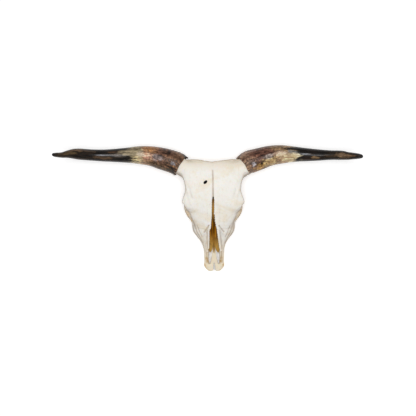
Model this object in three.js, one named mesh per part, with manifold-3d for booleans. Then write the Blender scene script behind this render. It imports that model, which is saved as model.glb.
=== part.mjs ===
// A longhorn steer's skull without its lower jaw, at life size, lying on its back teeth and jugular
// processes. Millimetres, +Z up. The muzzle points to -Y, the poll to +Y, the horns along X.
// The skull is lofted whole and then parted along its sutures, so that each bone is a solid.
import * as THREE from "three";
import { LoftGeometry } from "three/addons/geometries/LoftGeometry.js";
import { mergeVertices } from "three/addons/utils/BufferGeometryUtils.js";
import Module from "manifold-3d";

const wasm = await Module();
wasm.setup();

// ---- Driving sizes -------------------------------------------------------------------------------
// A place is x (sideways from the middle), s (forward from the poll, so y = -s) and z (up).

const SUTURE = 0.36; // gap that parts two bones
const MUZZLE_LEAN = 0.018; // sideways drift of the skull's middle for each millimetre forward
const OUTSIDE = 400; // further out than any bone reaches

// Bodies lie along the skull: s, z of the middle, half width, height over it, depth under it, squareness.
const FOREHEAD = [
  [14, 172, 92, 24, 26, 2.6],
  [40, 178, 116, 26, 22, 2.7],
  [80, 181, 133, 25, 19, 2.8],
  [118, 181, 122.5, 22.5, 17, 2.8],
  [150, 178, 124.5, 21, 16, 2.8],
  [187, 170, 138, 19, 15, 2.6],
  [208, 161, 125, 19, 16, 2.5],
  [230, 151, 98, 19.5, 20, 2.4],
  [252, 142, 78, 18, 20, 2.2],
];
const BRAINCASE = [
  [12, 134, 84, 44, 62, 3.2],
  [40, 134, 82, 48, 66, 2.8],
  [80, 134, 72, 50, 64, 2.5],
  [130, 132, 60, 48, 56, 2.3],
  [176, 128, 52, 44, 48, 2.2],
  [206, 124, 40, 28, 40, 2.2],
];
const FACE = [
  [186, 112, 56, 50, 56, 2.2],
  [200, 112, 90, 58, 74, 2.2],
  [222, 110, 108, 62, 78, 2.2],
  [246, 104, 109, 59, 75, 2.1],
  [270, 96, 98, 58, 68, 2.1],
  [293, 89, 94.5, 56, 61, 2.1],
  [320, 83, 87.5, 50, 52, 2.1],
  [337, 78, 77.5, 45, 46, 2.1],
  [352, 75, 66.5, 41, 42, 2.1],
  [370, 71, 55, 35, 37, 2.1],
  [397, 66, 46.5, 25, 30, 2.2],
  [429, 60, 45, 17, 22, 2.4],
  [457, 54, 44.5, 13, 14, 2.6],
  [474, 51.5, 44, 10.5, 10, 2.6],
  [487, 50, 36, 8.5, 7.5, 2.4],
  [497, 49, 24, 5, 4, 2.2],
];
const NASAL_CAVITY = [
  [172, 140, 7, 14, 14, 2.2],
  [190, 132, 16, 30, 34, 2.3],
  [222, 116, 26, 40, 54, 2.4],
  [264, 104, 32, 40, 54, 2.4],
  [308, 94, 33, 34, 46, 2.4],
  [351, 80, 31, 30, 33, 2.4],
  [388, 71, 27, 15, 23, 2.6],
  [401, 69, 26, 50, 21, 2.6],
  [440, 62, 25, 50, 14, 3],
  [462, 62, 20, 40, 9, 2.6],
];
const BASE = [
  [10, 76, 32, 12, 20, 2.4],
  [60, 72, 26, 14, 18, 2.4],
  [130, 78, 18, 16, 16, 2.4],
  [212, 84, 13, 20, 12, 2.4],
];
const PALATE_VAULT = [
  [176, 16, 24, 20, 12, 2.4],
  [215, 16, 42, 21, 20, 2.4],
  [290, 16, 37, 21, 20, 2.4],
  [345, 18, 26, 18, 22, 2.4],
  [440, 18, 24, 17, 24, 2.6],
];
const CHOANAE = [
  [136, 58, 11, 8, 40, 2.6],
  [166, 56, 16, 14, 50, 2.6],
  [198, 54, 16, 14, 40, 2.6],
  [209, 52, 10, 8, 24, 2.4],
];

// Limbs follow a path: x, s, z, then the half width and half height of the section across it.
const HORN_CORE = [
  [-12, 54, 158, 41, 40],
  [50, 47, 159, 43, 42],
  [100, 43, 161, 41, 42],
  [146, 26, 161, 43, 42],
  [182, 6, 160, 35, 35],
  [218, -4, 160, 22, 22],
];
const ZYGOMATIC_ARCH = [
  [104, 176, 112, 10, 18],
  [112, 148, 108, 6, 13],
  [111, 116, 108, 5.5, 10],
  [100, 88, 108, 7, 10],
  [82, 66, 108, 12, 13],
  [60, 58, 108, 14, 16],
];
const MALAR_CREST = [
  [98, 170, 112, 14, 15],
  [113, 196, 110, 17, 17],
  [110, 224, 107, 18, 20],
  [99, 250, 100, 18, 20],
  [77, 280, 88, 18, 20],
];
const PTERYGOID = [
  [20, 148, 64, 3.5, 22],
  [23, 176, 54, 4, 30],
  [29, 208, 48, 6, 26],
];
const ALVEOLAR_RIDGE = [
  [58, 190, 38, 9, 14],
  [60, 206, 39, 15, 20],
  [58, 252, 39, 16, 21],
  [53, 300, 40, 14, 20],
  [45, 340, 44, 8, 14],
];
const JUGULAR_PROCESS = [
  [62, 40, 100, 20, 24],
  [62, 40, 62, 13, 24],
  [61, 43, 32, 9, 19],
  [59, 46, 12, 7, 14],
  [58, 47, -6, 5.5, 10],
];

// Cheek teeth from the last molar forward: length, width, number of lobes.
const TEETH = [
  [29, 23, 2],
  [27, 25, 2],
  [24, 24, 2],
  [18, 22, 1],
  [18, 20, 1],
  [14, 15, 1],
];
const TOOTH_ROW = { back: 202, x: 60, inward: 0.105, root: 34 };

// Ellipsoids: x, s, z, then their half sizes along X, Y and Z.
const ORBIT_BRIM = [90, 188, 140, 48, 42, 39];
const ORBIT_SOCKET = [116, 190, 139, 50, 30, 28];
const ORBIT_TURN = 24; // the sockets look forward by so many degrees
const FACIAL_TUBEROSITY = [76, 300, 78, 16, 26, 18];
const MASTOID = [82, 42, 100, 24, 30, 42];
const CONDYLE = [32, 21, 73, 18, 18, 27];
const BULLA = [42, 82, 64, 12, 20, 20];
const BOLT_HOLE = { x: -32, s: 101, half: [7, 5.5], turn: 35, deep: 34 };
const FORAMEN_MAGNUM = { z: 84, r: 19, deep: 46 };

// Outlines drawn from above, as x, s. The opening over the nose is the broken gap between the nasals.
const NASAL_OPENING = [
  [-1.2, 164], [-5.2, 176], [-6.5, 212], [-7, 240], [-8.3, 261], [-11, 286], [-13, 305], [-18.6, 314],
  [-20, 402], [-25, 414], [-25, 440], [25, 440], [25, 414], [25.8, 402],
  [21.3, 376], [17.2, 343], [13.6, 311], [10.7, 295], [7.4, 287], [2.4, 283], [-1.8, 275], [1.2, 247],
  [-1.5, 242], [2.9, 230], [4.1, 176], [1.2, 164],
];
const OPENING_DEPTH = [[150, 112], [290, 112], [402, 66], [450, 60], [450, 240], [150, 240]]; // s, z
const PALATINE_FISSURE = [
  [7, 396], [13, 398], [24.5, 421], [25, 436], [23.5, 454], [20, 465], [17, 461], [10.5, 434], [7.5, 412],
];
const INCISIVE_NOTCH = [[-2, 464], [-3.5, 474], [-8, 505], [8, 505], [3.5, 474], [2, 464]];

// Sutures. Outlines from the side are s, z, and hold where x is over the third number.
const NASAL_BONE = [[-9, 178], [14, 196], [25, 216], [27, 252], [24, 292], [16, 309], [-9, 316]];
const NASAL_UNDERSIDE = 118;
const PREMAXILLA = {
  x: 0,
  side: [[291, 146], [323, 124], [350, 96], [386, 64], [392, 10], [520, 10], [520, 220], [291, 220]],
};
const FRONTAL = {
  x: 0,
  side: [
    [-80, 148], [20, 148], [60, 146], [126, 138], [130, 122], [160, 118], [202, 142], [228, 149],
    [238, 176], [238, 240], [-80, 240],
  ],
};
const HORN_CORE_ROOT = { x: 90, side: [[-80, 100], [72, 100], [78, 160], [78, 240], [-80, 240]] };
const LACRIMAL = { x: 20, side: [[196, 142], [238, 182], [272, 150], [266, 118], [234, 110], [196, 116]] };
const ZYGOMATIC = {
  x: 62,
  side: [
    [118, 132], [196, 118], [234, 110], [266, 118], [286, 96], [278, 80], [236, 82], [196, 88], [140, 88],
    [128, 100],
  ],
};
const TEMPORAL = { x: 54, side: [[10, 92], [30, 142], [118, 142], [140, 88], [60, 82]] };
const MAXILLA = { x: 0, side: [[188, -20], [188, 60], [214, 84], [214, 220], [520, 220], [520, -20]] };

// Thin bones inside the nose: the vomer from the side, and the turbinates as limbs.
const VOMER = {
  half: 2.6,
  side: [[207, 91], [224, 98], [300, 78], [392, 58], [406, 51], [392, 50.2], [300, 51], [262, 53], [224, 66]],
};
const TURBINATE = [
  [10, 206, 127, 5.5, 19],
  [13.5, 240, 120, 8, 20],
  [16, 280, 105, 9, 22],
  [17, 320, 92, 9, 19],
  [16, 360, 76, 7.5, 14],
  [14.5, 392, 63, 4, 6],
];

// Horn sheaths: x, s, z along the middle, then the radius.
const HORN_LEFT = [
  [-139.4, 31, 161, 49],
  [-162.4, 16.5, 161, 50.2],
  [-212.4, 1.5, 160, 50],
  [-265.4, -11, 160, 43.5],
  [-317.4, -17.5, 161, 39],
  [-369.4, -16, 164, 33.2],
  [-420.4, -15, 170, 29.7],
  [-471.4, -14, 180, 26.3],
  [-522.4, -15, 196, 24.3],
  [-572.4, -17, 218, 23.8],
  [-618.4, -14, 249, 15.8],
  [-639.4, -10.5, 268, 11.8],
  [-657.4, -9, 290, 8],
  [-667.4, -9, 308, 3.5],
];
const HORN_RIGHT = [
  [128.6, 30.5, 161, 48],
  [153.6, 15.5, 161, 50.5],
  [196.6, 2.5, 160, 48.5],
  [248.6, -13, 160, 44],
  [300.6, -20, 161, 40.2],
  [352.6, -20.5, 165, 33.5],
  [403.6, -18, 171, 29],
  [454.6, -16, 180, 24.7],
  [504.6, -15, 194, 20.9],
  [557.6, -13, 215, 19],
  [598.6, -8, 244, 12.7],
  [618.6, -5, 267, 8.2],
  [628.6, -2.5, 286, 3.5],
];
const SOCKET_PLAY = 2; // between a horn's sheath and its bony core
const SOCKET_END = [221, -4.8, 160, 21, 21];

// ---- Finishes --------------------------------------------------------------------------------------

const bone = new THREE.MeshStandardMaterial({ name: "bone", color: 0xe9e3d6, roughness: 0.62 });
const innerBone = new THREE.MeshStandardMaterial({ name: "inner_bone", color: 0x8a6022, roughness: 0.75 });
const keratin = new THREE.MeshStandardMaterial({ name: "horn", color: 0x3f3229, roughness: 0.28 });

// ---- Ways of making solids -----------------------------------------------------------------------

const at = (x, s, z) => new THREE.Vector3(x, -s, z);

/** A closed mesh as a solid that can be joined and cut. */
function solid(geometry) {
  const bare = new THREE.BufferGeometry().copy(geometry);
  bare.deleteAttribute("normal");
  bare.deleteAttribute("uv");
  const merged = mergeVertices(bare, 1e-3);
  const made = new wasm.Mesh({
    numProp: 3,
    vertProperties: merged.attributes.position.array,
    triVerts: new Uint32Array(merged.index.array),
  });
  return new wasm.Manifold(made);
}

/** A smooth curve through rows of numbers, as a function of the place along it, from 0 to 1. */
function through(rows) {
  const last = rows.length - 1;
  const row = (i) => {
    if (i < 0) return rows[0].map((v, k) => 2 * v - rows[1][k]);
    if (i > last) return rows[last].map((v, k) => 2 * v - rows[last - 1][k]);
    return rows[i];
  };
  return (t) => {
    const i = Math.min(Math.floor(t * last), last - 1);
    const f = t * last - i;
    const [a, b, c, d] = [i - 1, i, i + 1, i + 2].map(row);
    return b.map((v, k) => {
      const rise = (c[k] - a[k]) / 2;
      const next = (d[k] - v) / 2;
      const bend = 3 * (c[k] - v) - 2 * rise - next;
      return v + f * (rise + f * (bend + f * (2 * (v - c[k]) + rise + next)));
    });
  };
}

const power = (v, n) => Math.sign(v) * Math.abs(v) ** (2 / n);
const turns = (count) => Array.from({ length: count }, (_, i) => (i / count) * 2 * Math.PI);
const places = (rings) => Array.from({ length: rings + 1 }, (_, i) => i / rings);

/** A body along the skull, with superelliptic sections. */
function body(rows, sides = 18, steps = 1) {
  const curve = through(rows);
  const sections = places((rows.length - 1) * steps).map((t) => {
    const [s, z, wide, up, down, n] = curve(t);
    return turns(sides).map((a) => {
      const rise = Math.sin(a) > 0 ? up : down;
      return at(wide * power(Math.cos(a), n), s, z + rise * power(Math.sin(a), n));
    });
  });
  return solid(new LoftGeometry(sections, { capStart: true, capEnd: true }));
}

/** A limb along a path, with elliptic sections square to it. */
function limb(rows, sides = 8, steps = 1, { over = [0, 0, 1], grow = 0 } = {}) {
  const curve = through(rows);
  const lean = new THREE.Vector3(...over);
  const middle = (t) => at(...curve(t));
  const sections = places((rows.length - 1) * steps).map((t) => {
    const [, , , wide, tall = wide] = curve(t);
    const along = middle(Math.min(1, t + 0.01)).sub(middle(Math.max(0, t - 0.01))).normalize();
    const across = new THREE.Vector3().crossVectors(lean, along).normalize();
    const up = new THREE.Vector3().crossVectors(along, across);
    return turns(sides).map((a) =>
      middle(t)
        .addScaledVector(across, (wide + grow) * Math.cos(a))
        .addScaledVector(up, (tall + grow) * Math.sin(a)),
    );
  });
  return solid(new LoftGeometry(sections, { capStart: true, capEnd: true }));
}

/** An ellipsoid, turned about Z by some degrees. */
function ellipsoid([x, s, z, a, b, c], around = 10, turn = 0) {
  const ball = new THREE.SphereGeometry(1, around, around / 2).scale(a, b, c);
  const place = at(x, s, z);
  return solid(ball.rotateZ(THREE.MathUtils.degToRad(turn)).translate(place.x, place.y, place.z));
}

/** A prism whose outline is drawn from above. */
function seenFromAbove(outline, low, high) {
  const shape = new THREE.Shape(outline.map(([x, s]) => new THREE.Vector2(x, -s)));
  const prism = new THREE.ExtrudeGeometry(shape, { depth: high - low, bevelEnabled: false });
  return solid(prism.translate(0, 0, low));
}

/** A prism whose outline is drawn from the side. */
function seenFromSide(outline, low, high) {
  const shape = new THREE.Shape(outline.map(([s, z]) => new THREE.Vector2(-s, z)));
  const prism = new THREE.ExtrudeGeometry(shape, { depth: high - low, bevelEnabled: false });
  const toSide = new THREE.Matrix4().makeBasis(
    new THREE.Vector3(0, 1, 0),
    new THREE.Vector3(0, 0, 1),
    new THREE.Vector3(1, 0, 0),
  );
  return solid(prism.applyMatrix4(toSide).translate(low, 0, 0));
}

/** An outline moved outwards everywhere by a distance. */
function grown(outline, by) {
  const points = outline.map(([a, b]) => new THREE.Vector2(a, b));
  const outward = THREE.ShapeUtils.area(points) > 0 ? by : -by;
  return points.map((here, i) => {
    const before = here.clone().sub(points.at(i - 1)).normalize();
    const after = points[(i + 1) % points.length].clone().sub(here).normalize();
    const step = new THREE.Vector2(before.y + after.y, -before.x - after.x);
    step.multiplyScalar((2 * outward) / step.lengthSq());
    return [here.x + step.x, here.y + step.y];
  });
}

const join = (solids) => solids.reduce((whole, one) => whole.add(one));
const mirrored = (one) => one.mirror([1, 0, 0]);
const bothSides = (one) => one.add(mirrored(one));
const largest = (one) => one.decompose().sort((a, b) => b.volume() - a.volume())[0];

// ---- The skull as one solid ----------------------------------------------------------------------

/** Six cheek teeth in a row, each lobe a rounded column worn flat at the floor. */
function cheekTeeth() {
  const { back, x, inward, root } = TOOTH_ROW;
  const lobes = [];
  let s = back;
  for (const [length, width, count] of TEETH) {
    const lobe = length / count;
    for (let i = 0; i < count; i++) {
      const middle = s + lobe * (i + 0.5);
      const place = at(x - inward * (middle - back), middle, root / 2);
      const column = new THREE.CylinderGeometry(1, 1, root, 6).rotateX(Math.PI / 2);
      column.scale(width / 2, lobe / 2 + 0.8, 1).translate(place.x, place.y, place.z);
      lobes.push(solid(column));
    }
    s += length;
  }
  return join(lobes);
}

function skull() {
  const oneSide = join([
    limb(HORN_CORE, 12),
    ellipsoid(ORBIT_BRIM),
    limb(ZYGOMATIC_ARCH, 7),
    limb(MALAR_CREST),
    limb(ALVEOLAR_RIDGE, 6),
    limb(PTERYGOID, 6),
    limb(JUGULAR_PROCESS, 6, 1, { over: [1, 0, 0] }),
    ellipsoid(FACIAL_TUBEROSITY, 8),
    ellipsoid(MASTOID, 8),
    ellipsoid(CONDYLE, 8),
    ellipsoid(BULLA, 8),
    cheekTeeth(),
  ]);
  const { r, deep: inward, z: level } = FORAMEN_MAGNUM;
  const magnum = new THREE.CylinderGeometry(r, r * 0.8, inward, 12).translate(0, 0, level);
  const { x, s, half, turn, deep } = BOLT_HOLE;
  const bolt = new THREE.CylinderGeometry(1, 1, deep, 10).rotateX(Math.PI / 2).scale(half[0], half[1], 1);
  bolt.rotateZ(THREE.MathUtils.degToRad(turn)).translate(x, -s, 206 - deep / 2);
  return join([body(FOREHEAD, 14), body(BRAINCASE, 12), body(FACE, 16), body(BASE, 8)])
    .add(bothSides(oneSide))
    .subtract(bothSides(ellipsoid(ORBIT_SOCKET, 12, -ORBIT_TURN)))
    .subtract(body(PALATE_VAULT, 8))
    .subtract(body(CHOANAE, 8))
    .subtract(body(NASAL_CAVITY, 10))
    .subtract(seenFromAbove(NASAL_OPENING, 0, 240).intersect(seenFromSide(OPENING_DEPTH, -60, 60)))
    .subtract(bothSides(seenFromAbove(PALATINE_FISSURE, 0, 112)))
    .subtract(seenFromAbove(INCISIVE_NOTCH, 0, 112))
    .subtract(solid(magnum))
    .subtract(solid(bolt))
    .trimByPlane([0, 0, 1], 0);
}

// ---- The bones, parted along the sutures ---------------------------------------------------------

const sideRegion = ({ x, side }) => (grow) => seenFromSide(grown(side, grow), x - grow, OUTSIDE);
const nasalRegion = (grow) => {
  const outline = grown(NASAL_BONE, grow).map(([x, s]) => [Math.max(x, -grow), s]);
  return seenFromAbove(outline, NASAL_UNDERSIDE - grow, OUTSIDE);
};
const frontalRegion = (grow) => sideRegion(FRONTAL)(grow).add(sideRegion(HORN_CORE_ROOT)(grow));

const PAIRED_BONES = {
  nasal: nasalRegion,
  premaxilla: sideRegion(PREMAXILLA),
  frontal: frontalRegion,
  lacrimal: sideRegion(LACRIMAL),
  zygomatic: sideRegion(ZYGOMATIC),
  temporal: sideRegion(TEMPORAL),
  maxilla: sideRegion(MAXILLA),
};

const solids = [];
let rest = skull();
for (const [name, region] of Object.entries(PAIRED_BONES)) {
  for (const side of ["left", "right"]) {
    const turned = (grow) => (side === "left" ? mirrored(region(grow)) : region(grow));
    const made = rest.intersect(turned(-SUTURE / 2));
    solids.push([`${name}_${side}`, largest(made), bone]);
    rest = rest.subtract(turned(SUTURE / 2));
  }
}
solids.push(["cranium", largest(rest), bone]);

// ---- Thin bones in the nose, and the horns --------------------------------------------------------

solids.push(["vomer", seenFromSide(VOMER.side, -VOMER.half, VOMER.half), innerBone]);
const turbinate = limb(TURBINATE, 6);
solids.push(["turbinate_left", mirrored(turbinate), innerBone], ["turbinate_right", turbinate, innerBone]);

const socket = limb([...HORN_CORE, SOCKET_END], 12, 1, { grow: SOCKET_PLAY });
solids.push(["horn_left", limb(HORN_LEFT, 14).subtract(mirrored(socket)), keratin]);
solids.push(["horn_right", limb(HORN_RIGHT, 14).subtract(socket), keratin]);

/** A named mesh of one solid, leaning with the skull. */
function piece(name, made, material) {
  const { vertProperties, triVerts } = made.getMesh();
  const geometry = new THREE.BufferGeometry();
  geometry.setAttribute("position", new THREE.BufferAttribute(new Float32Array(vertProperties), 3));
  geometry.setIndex(new THREE.BufferAttribute(new Uint32Array(triVerts), 1));
  const lean = new THREE.Matrix4().makeShear(0, 0, -MUZZLE_LEAN, 0, 0, 0);
  geometry.applyMatrix4(lean);
  geometry.computeVertexNormals();
  const mesh = new THREE.Mesh(geometry, material);
  mesh.name = name;
  return mesh;
}

const steerSkull = new THREE.Group();
steerSkull.name = "longhorn_steer_skull";
for (const [name, made, material] of solids) steerSkull.add(piece(name, made, material));

// The origin is under the middle of the whole, on the floor.
const box = new THREE.Box3().setFromObject(steerSkull);
const middle = box.getCenter(new THREE.Vector3());
for (const mesh of steerSkull.children) mesh.geometry.translate(-middle.x, -middle.y, -box.min.z);

export default steerSkull;
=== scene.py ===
"""A longhorn steer's skull without its lower jaw: bleached bone, worn cheek teeth and polished horns.

It lies on its back teeth, muzzle to -Y and poll to +Y, on a pale floor. Bone sizes are in millimetres,
given as x (sideways from the skull's middle), s (forward from the poll) and z (up from the floor).
"""
import math
import bpy
import numpy as np
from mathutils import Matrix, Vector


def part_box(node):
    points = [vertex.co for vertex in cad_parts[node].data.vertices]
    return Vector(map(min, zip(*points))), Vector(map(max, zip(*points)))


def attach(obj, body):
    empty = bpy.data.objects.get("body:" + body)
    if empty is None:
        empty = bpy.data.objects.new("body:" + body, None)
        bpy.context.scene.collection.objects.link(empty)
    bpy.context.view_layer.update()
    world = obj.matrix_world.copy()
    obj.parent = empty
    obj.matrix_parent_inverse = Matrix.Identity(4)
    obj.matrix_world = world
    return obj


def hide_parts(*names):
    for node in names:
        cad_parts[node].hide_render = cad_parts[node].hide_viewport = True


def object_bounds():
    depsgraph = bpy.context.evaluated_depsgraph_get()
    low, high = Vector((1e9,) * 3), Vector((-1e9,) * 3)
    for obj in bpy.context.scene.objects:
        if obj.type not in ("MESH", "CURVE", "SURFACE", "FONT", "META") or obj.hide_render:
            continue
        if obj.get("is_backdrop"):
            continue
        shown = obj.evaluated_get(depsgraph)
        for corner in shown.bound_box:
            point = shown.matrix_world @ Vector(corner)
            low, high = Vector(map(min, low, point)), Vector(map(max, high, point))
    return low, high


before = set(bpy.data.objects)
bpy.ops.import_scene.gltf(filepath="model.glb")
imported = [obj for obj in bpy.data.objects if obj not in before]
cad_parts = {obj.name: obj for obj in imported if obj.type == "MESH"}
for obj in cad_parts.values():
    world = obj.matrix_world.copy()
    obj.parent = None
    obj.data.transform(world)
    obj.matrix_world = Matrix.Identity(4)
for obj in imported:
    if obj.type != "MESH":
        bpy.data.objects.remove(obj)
cad_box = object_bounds()

# ---- Camera -----------------------------------------------------------------------------------------
# Straight above the skull, with the poll at the top: a bone that is shown upright, laid down.
VIEW_PIXELS = 416
METRES_PER_PIXEL = 0.0043  # on the forehead
FOREHEAD_HEIGHT = 0.200
CAMERA_HEIGHT = 3.5
SENSOR_WIDTH = 36.0
MUZZLE_TO_MIDDLE = 0.2835  # from the muzzle's tip back to the middle of the view

camera_data = bpy.data.cameras.new("camera")
camera_data.sensor_width = SENSOR_WIDTH
view_width = VIEW_PIXELS * METRES_PER_PIXEL
camera_data.lens = SENSOR_WIDTH * (CAMERA_HEIGHT - FOREHEAD_HEIGHT) / view_width
camera = bpy.data.objects.new("camera", camera_data)
camera.location = (0.0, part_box("premaxilla_left")[0].y + MUZZLE_TO_MIDDLE, CAMERA_HEIGHT)
bpy.context.scene.collection.objects.link(camera)
bpy.context.scene.camera = camera

# ---- The skull's form -------------------------------------------------------------------------------
# Dry bone grows as one flowing surface, so the form is a field: at every point of a grid, how far that
# point is outside the bone. Bodies and limbs melt into each other, and hollows are carved out.
STEP = 1.6  # between grid points
REACH = 14.0  # how far beyond its own surface a part of the field is worked out
FAR_OUTSIDE = 30.0  # the field where no part reaches

half_x = np.arange(0.0, 170.0, STEP)
full_x = np.concatenate([-half_x[:0:-1], half_x])
along = np.arange(-54.0, 507.0, STEP)
up = np.arange(-2 * STEP, 213.0, STEP)

# Bodies along the skull: s, z of the middle, half width, height over it, depth under it, squareness.
FOREHEAD = [
    [10, 170, 84, 22, 26, 2.6],
    [24, 175, 103, 25, 24, 2.6],
    [48, 178, 118, 26, 21, 2.7],
    [66, 180, 126, 25.5, 20, 2.8],
    [84, 181, 129, 25, 19, 2.9],
    [104, 181, 124, 23.5, 17, 3.0],
    [118, 181, 121.5, 22.5, 17, 3.0],
    [134, 180, 120.5, 21.5, 16, 3.0],
    [150, 178, 124, 21, 16, 2.9],
    [168, 174.5, 130.5, 20, 15, 2.7],
    [187, 170, 136, 19, 15, 2.6],
    [200, 165, 129.5, 19, 15, 2.5],
    [214, 158.5, 118.5, 19, 17, 2.4],
    [230, 147, 107, 23, 20, 2.2],
    [252, 136, 98, 24.5, 20, 2.0],
    [275, 122, 89, 28, 20, 2.0],
    [298, 109, 79, 25, 20, 2.0],
]
BRAINCASE = [
    [14, 134, 82, 44, 60, 3.2],
    [40, 134, 80, 48, 64, 2.8],
    [80, 134, 70, 50, 62, 2.5],
    [130, 132, 58, 48, 54, 2.3],
    [176, 128, 52, 44, 46, 2.2],
    [206, 124, 40, 28, 40, 2.2],
]
FACE = [
    [188, 112, 56, 50, 56, 2.2],
    [200, 112, 89, 58, 74, 2.2],
    [222, 110, 107, 62, 78, 2.05],
    [246, 104, 108, 58, 75, 1.9],
    [270, 96, 95.5, 56, 68, 1.8],
    [284, 91.5, 94.5, 55, 64, 1.78],
    [293, 89, 93.5, 54, 61, 1.75],
    [320, 83, 86.5, 48, 52, 1.75],
    [337, 78, 76.5, 43, 46, 1.8],
    [352, 75, 65.5, 39, 42, 1.9],
    [370, 71, 54, 34, 37, 2.0],
    [397, 66, 45.8, 25, 30, 2.2],
    [429, 60, 44.5, 17, 22, 2.4],
    [450, 55.5, 43.5, 13.5, 16, 2.6],
    [466, 52.5, 44.5, 11.5, 12, 2.6],
    [474, 51.5, 43.5, 10.5, 10, 2.6],
    [482, 50.5, 38.5, 9.5, 8.5, 2.5],
    [490, 50, 31, 7.5, 6.5, 2.3],
    [496.4, 49, 22, 5, 4, 2.2],
]
NASAL_ROOF = [
    [196, 152, 64, 25, 20, 2.6],
    [222, 146, 58, 25.5, 20, 2.8],
    [246, 138, 52, 24.5, 20, 2.8],
    [270, 129, 46, 24.5, 20, 2.8],
    [293, 121, 42, 23.5, 20, 2.8],
    [320, 110, 38, 22.5, 20, 2.8],
    [352, 94, 34, 21.5, 18, 2.7],
    [385, 79, 30, 18, 16, 2.6],
]
NASAL_CAVITY = [
    [172, 140, 7, 14, 14, 2.2],
    [190, 132, 16, 30, 34, 2.3],
    [222, 116, 26, 42, 54, 2.4],
    [264, 104, 33, 42, 54, 2.4],
    [308, 94, 34, 40, 46, 2.4],
    [351, 80, 31, 48, 33, 2.4],
    [388, 71, 27, 60, 23, 2.6],
    [405, 68, 25.5, 60, 21, 2.6],
    [425, 66, 25, 60, 18, 2.8],
    [445, 64, 24, 60, 10.5, 2.8],
    [460, 65, 21, 40, 5, 2.6],
    [472, 69, 14, 30, 3, 2.4],
]
BASE = [
    [10, 76, 32, 12, 18, 2.4],
    [60, 72, 26, 14, 16, 2.4],
    [130, 78, 18, 16, 15, 2.4],
    [212, 84, 13, 20, 12, 2.4],
]
PALATE_VAULT = [
    [176, 14, 24, 20, 12, 2.4],
    [215, 14, 42, 21, 20, 2.4],
    [290, 14, 38, 21, 20, 2.4],
    [345, 16, 27, 20, 22, 2.4],
    [440, 18, 22, 19, 24, 2.6],
]
CHOANAE = [
    [136, 58, 11, 8, 40, 2.6],
    [166, 56, 16, 14, 50, 2.6],
    [198, 54, 16, 14, 40, 2.6],
    [209, 52, 10, 8, 24, 2.4],
]

# Limbs along a path: x, s, z, then half width and half height across it.
HORN_CORE = [
    [-12, 54, 157, 40, 39],
    [50, 47, 158, 42, 41],
    [100, 43, 160, 40.5, 41],
    [124, 37, 161, 41, 41],
    [146, 26, 161, 41.5, 41],
    [182, 7, 160, 33, 33],
]
ZYGOMATIC_ARCH = [
    [102, 178, 112, 9, 16],
    [111, 148, 108, 5, 12.5],
    [110.5, 116, 108, 5, 9.5],
    [100, 88, 108, 6.5, 9.5],
    [82, 66, 108, 11, 12],
    [60, 58, 108, 13, 15],
]
MALAR_CREST = [
    [97, 170, 112, 13, 14],
    [112, 196, 110, 16, 16],
    [109.5, 224, 107, 16.5, 19],
    [97, 246, 100, 17, 19],
    [80, 267, 92, 14, 16],
    [69, 284, 86, 12, 16],
]
PTERYGOID = [
    [20, 150, 64, 3, 20],
    [23, 176, 54, 3.6, 28],
    [29, 208, 48, 6, 25],
]
ALVEOLAR_RIDGE = [
    [58, 194, 40, 8, 12],
    [60, 208, 40, 14, 19],
    [58, 252, 40, 15, 20],
    [53, 300, 41, 13, 19],
    [45, 340, 45, 7, 13],
]
JUGULAR_PROCESS = [
    [62, 40, 100, 19, 22],
    [62, 40, 62, 12, 22],
    [61, 43, 32, 8.5, 18],
    [59, 46, 12, 6.5, 13],
    [58, 47, -8, 5.5, 9.5],
]

# Ellipsoids: x, s, z, then half sizes along X, Y and Z. Turns are in degrees about Z.
ORBIT_BRIM = [90, 188, 140, 47, 41.5, 38]
ORBIT_SOCKET = [115, 189, 140, 52, 31, 30]
ORBIT_TURN = 24.0
FACIAL_TUBEROSITY = [75, 300, 78, 15, 25, 17]
MASTOID = [82, 42, 100, 23, 29, 41]
CONDYLE = [32, 21, 73, 17.5, 18, 26]
BULLA = [42, 80, 65, 9, 17, 17]
BOLT_HOLE = [-32.5, 102.5, 205, 9.4, 5.6, 36]
BOLT_TURN = 42.0
FORAMEN_MAGNUM = [0, -14, 84, 18.5, 44, 18.5]
INFRAORBITAL_HOLE = [62, 352, 74, 9, 7, 4.5]
ORBIT_CANAL = [52, 196, 120, 22, 8, 7]


def through(rows, count=300):
    """A smooth curve through rows: between two rows, the cubic whose slopes come from the rows beside
    them."""
    rows = np.asarray(rows, float)
    ends = np.vstack([2 * rows[0] - rows[1], rows, 2 * rows[-1] - rows[-2]])
    t = np.linspace(0, len(rows) - 1, count)
    i = np.minimum(t.astype(int), len(rows) - 2)
    f = (t - i)[:, None]
    a, b, c, d = ends[i], ends[i + 1], ends[i + 2], ends[i + 3]
    return b + f / 2 * (c - a + f * (2 * a - 5 * b + 4 * c - d + f * (3 * (b - c) + d - a)))


def window(axis, low, high):
    """The stretch of a grid axis from low to high, with the field's reach at both ends."""
    return slice(*np.searchsorted(axis, [low - REACH, high + REACH]))


def smooth_min(a, b, blend):
    """The lower of two fields, rounded where they cross: a parabola takes over within blend of equality."""
    h = np.clip(0.5 + 0.5 * (a - b) / blend, 0, 1)
    return a + (b - a) * h - blend * h * (1 - h)


END_ROUNDING = 5.0  # of a body's two ends


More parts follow.
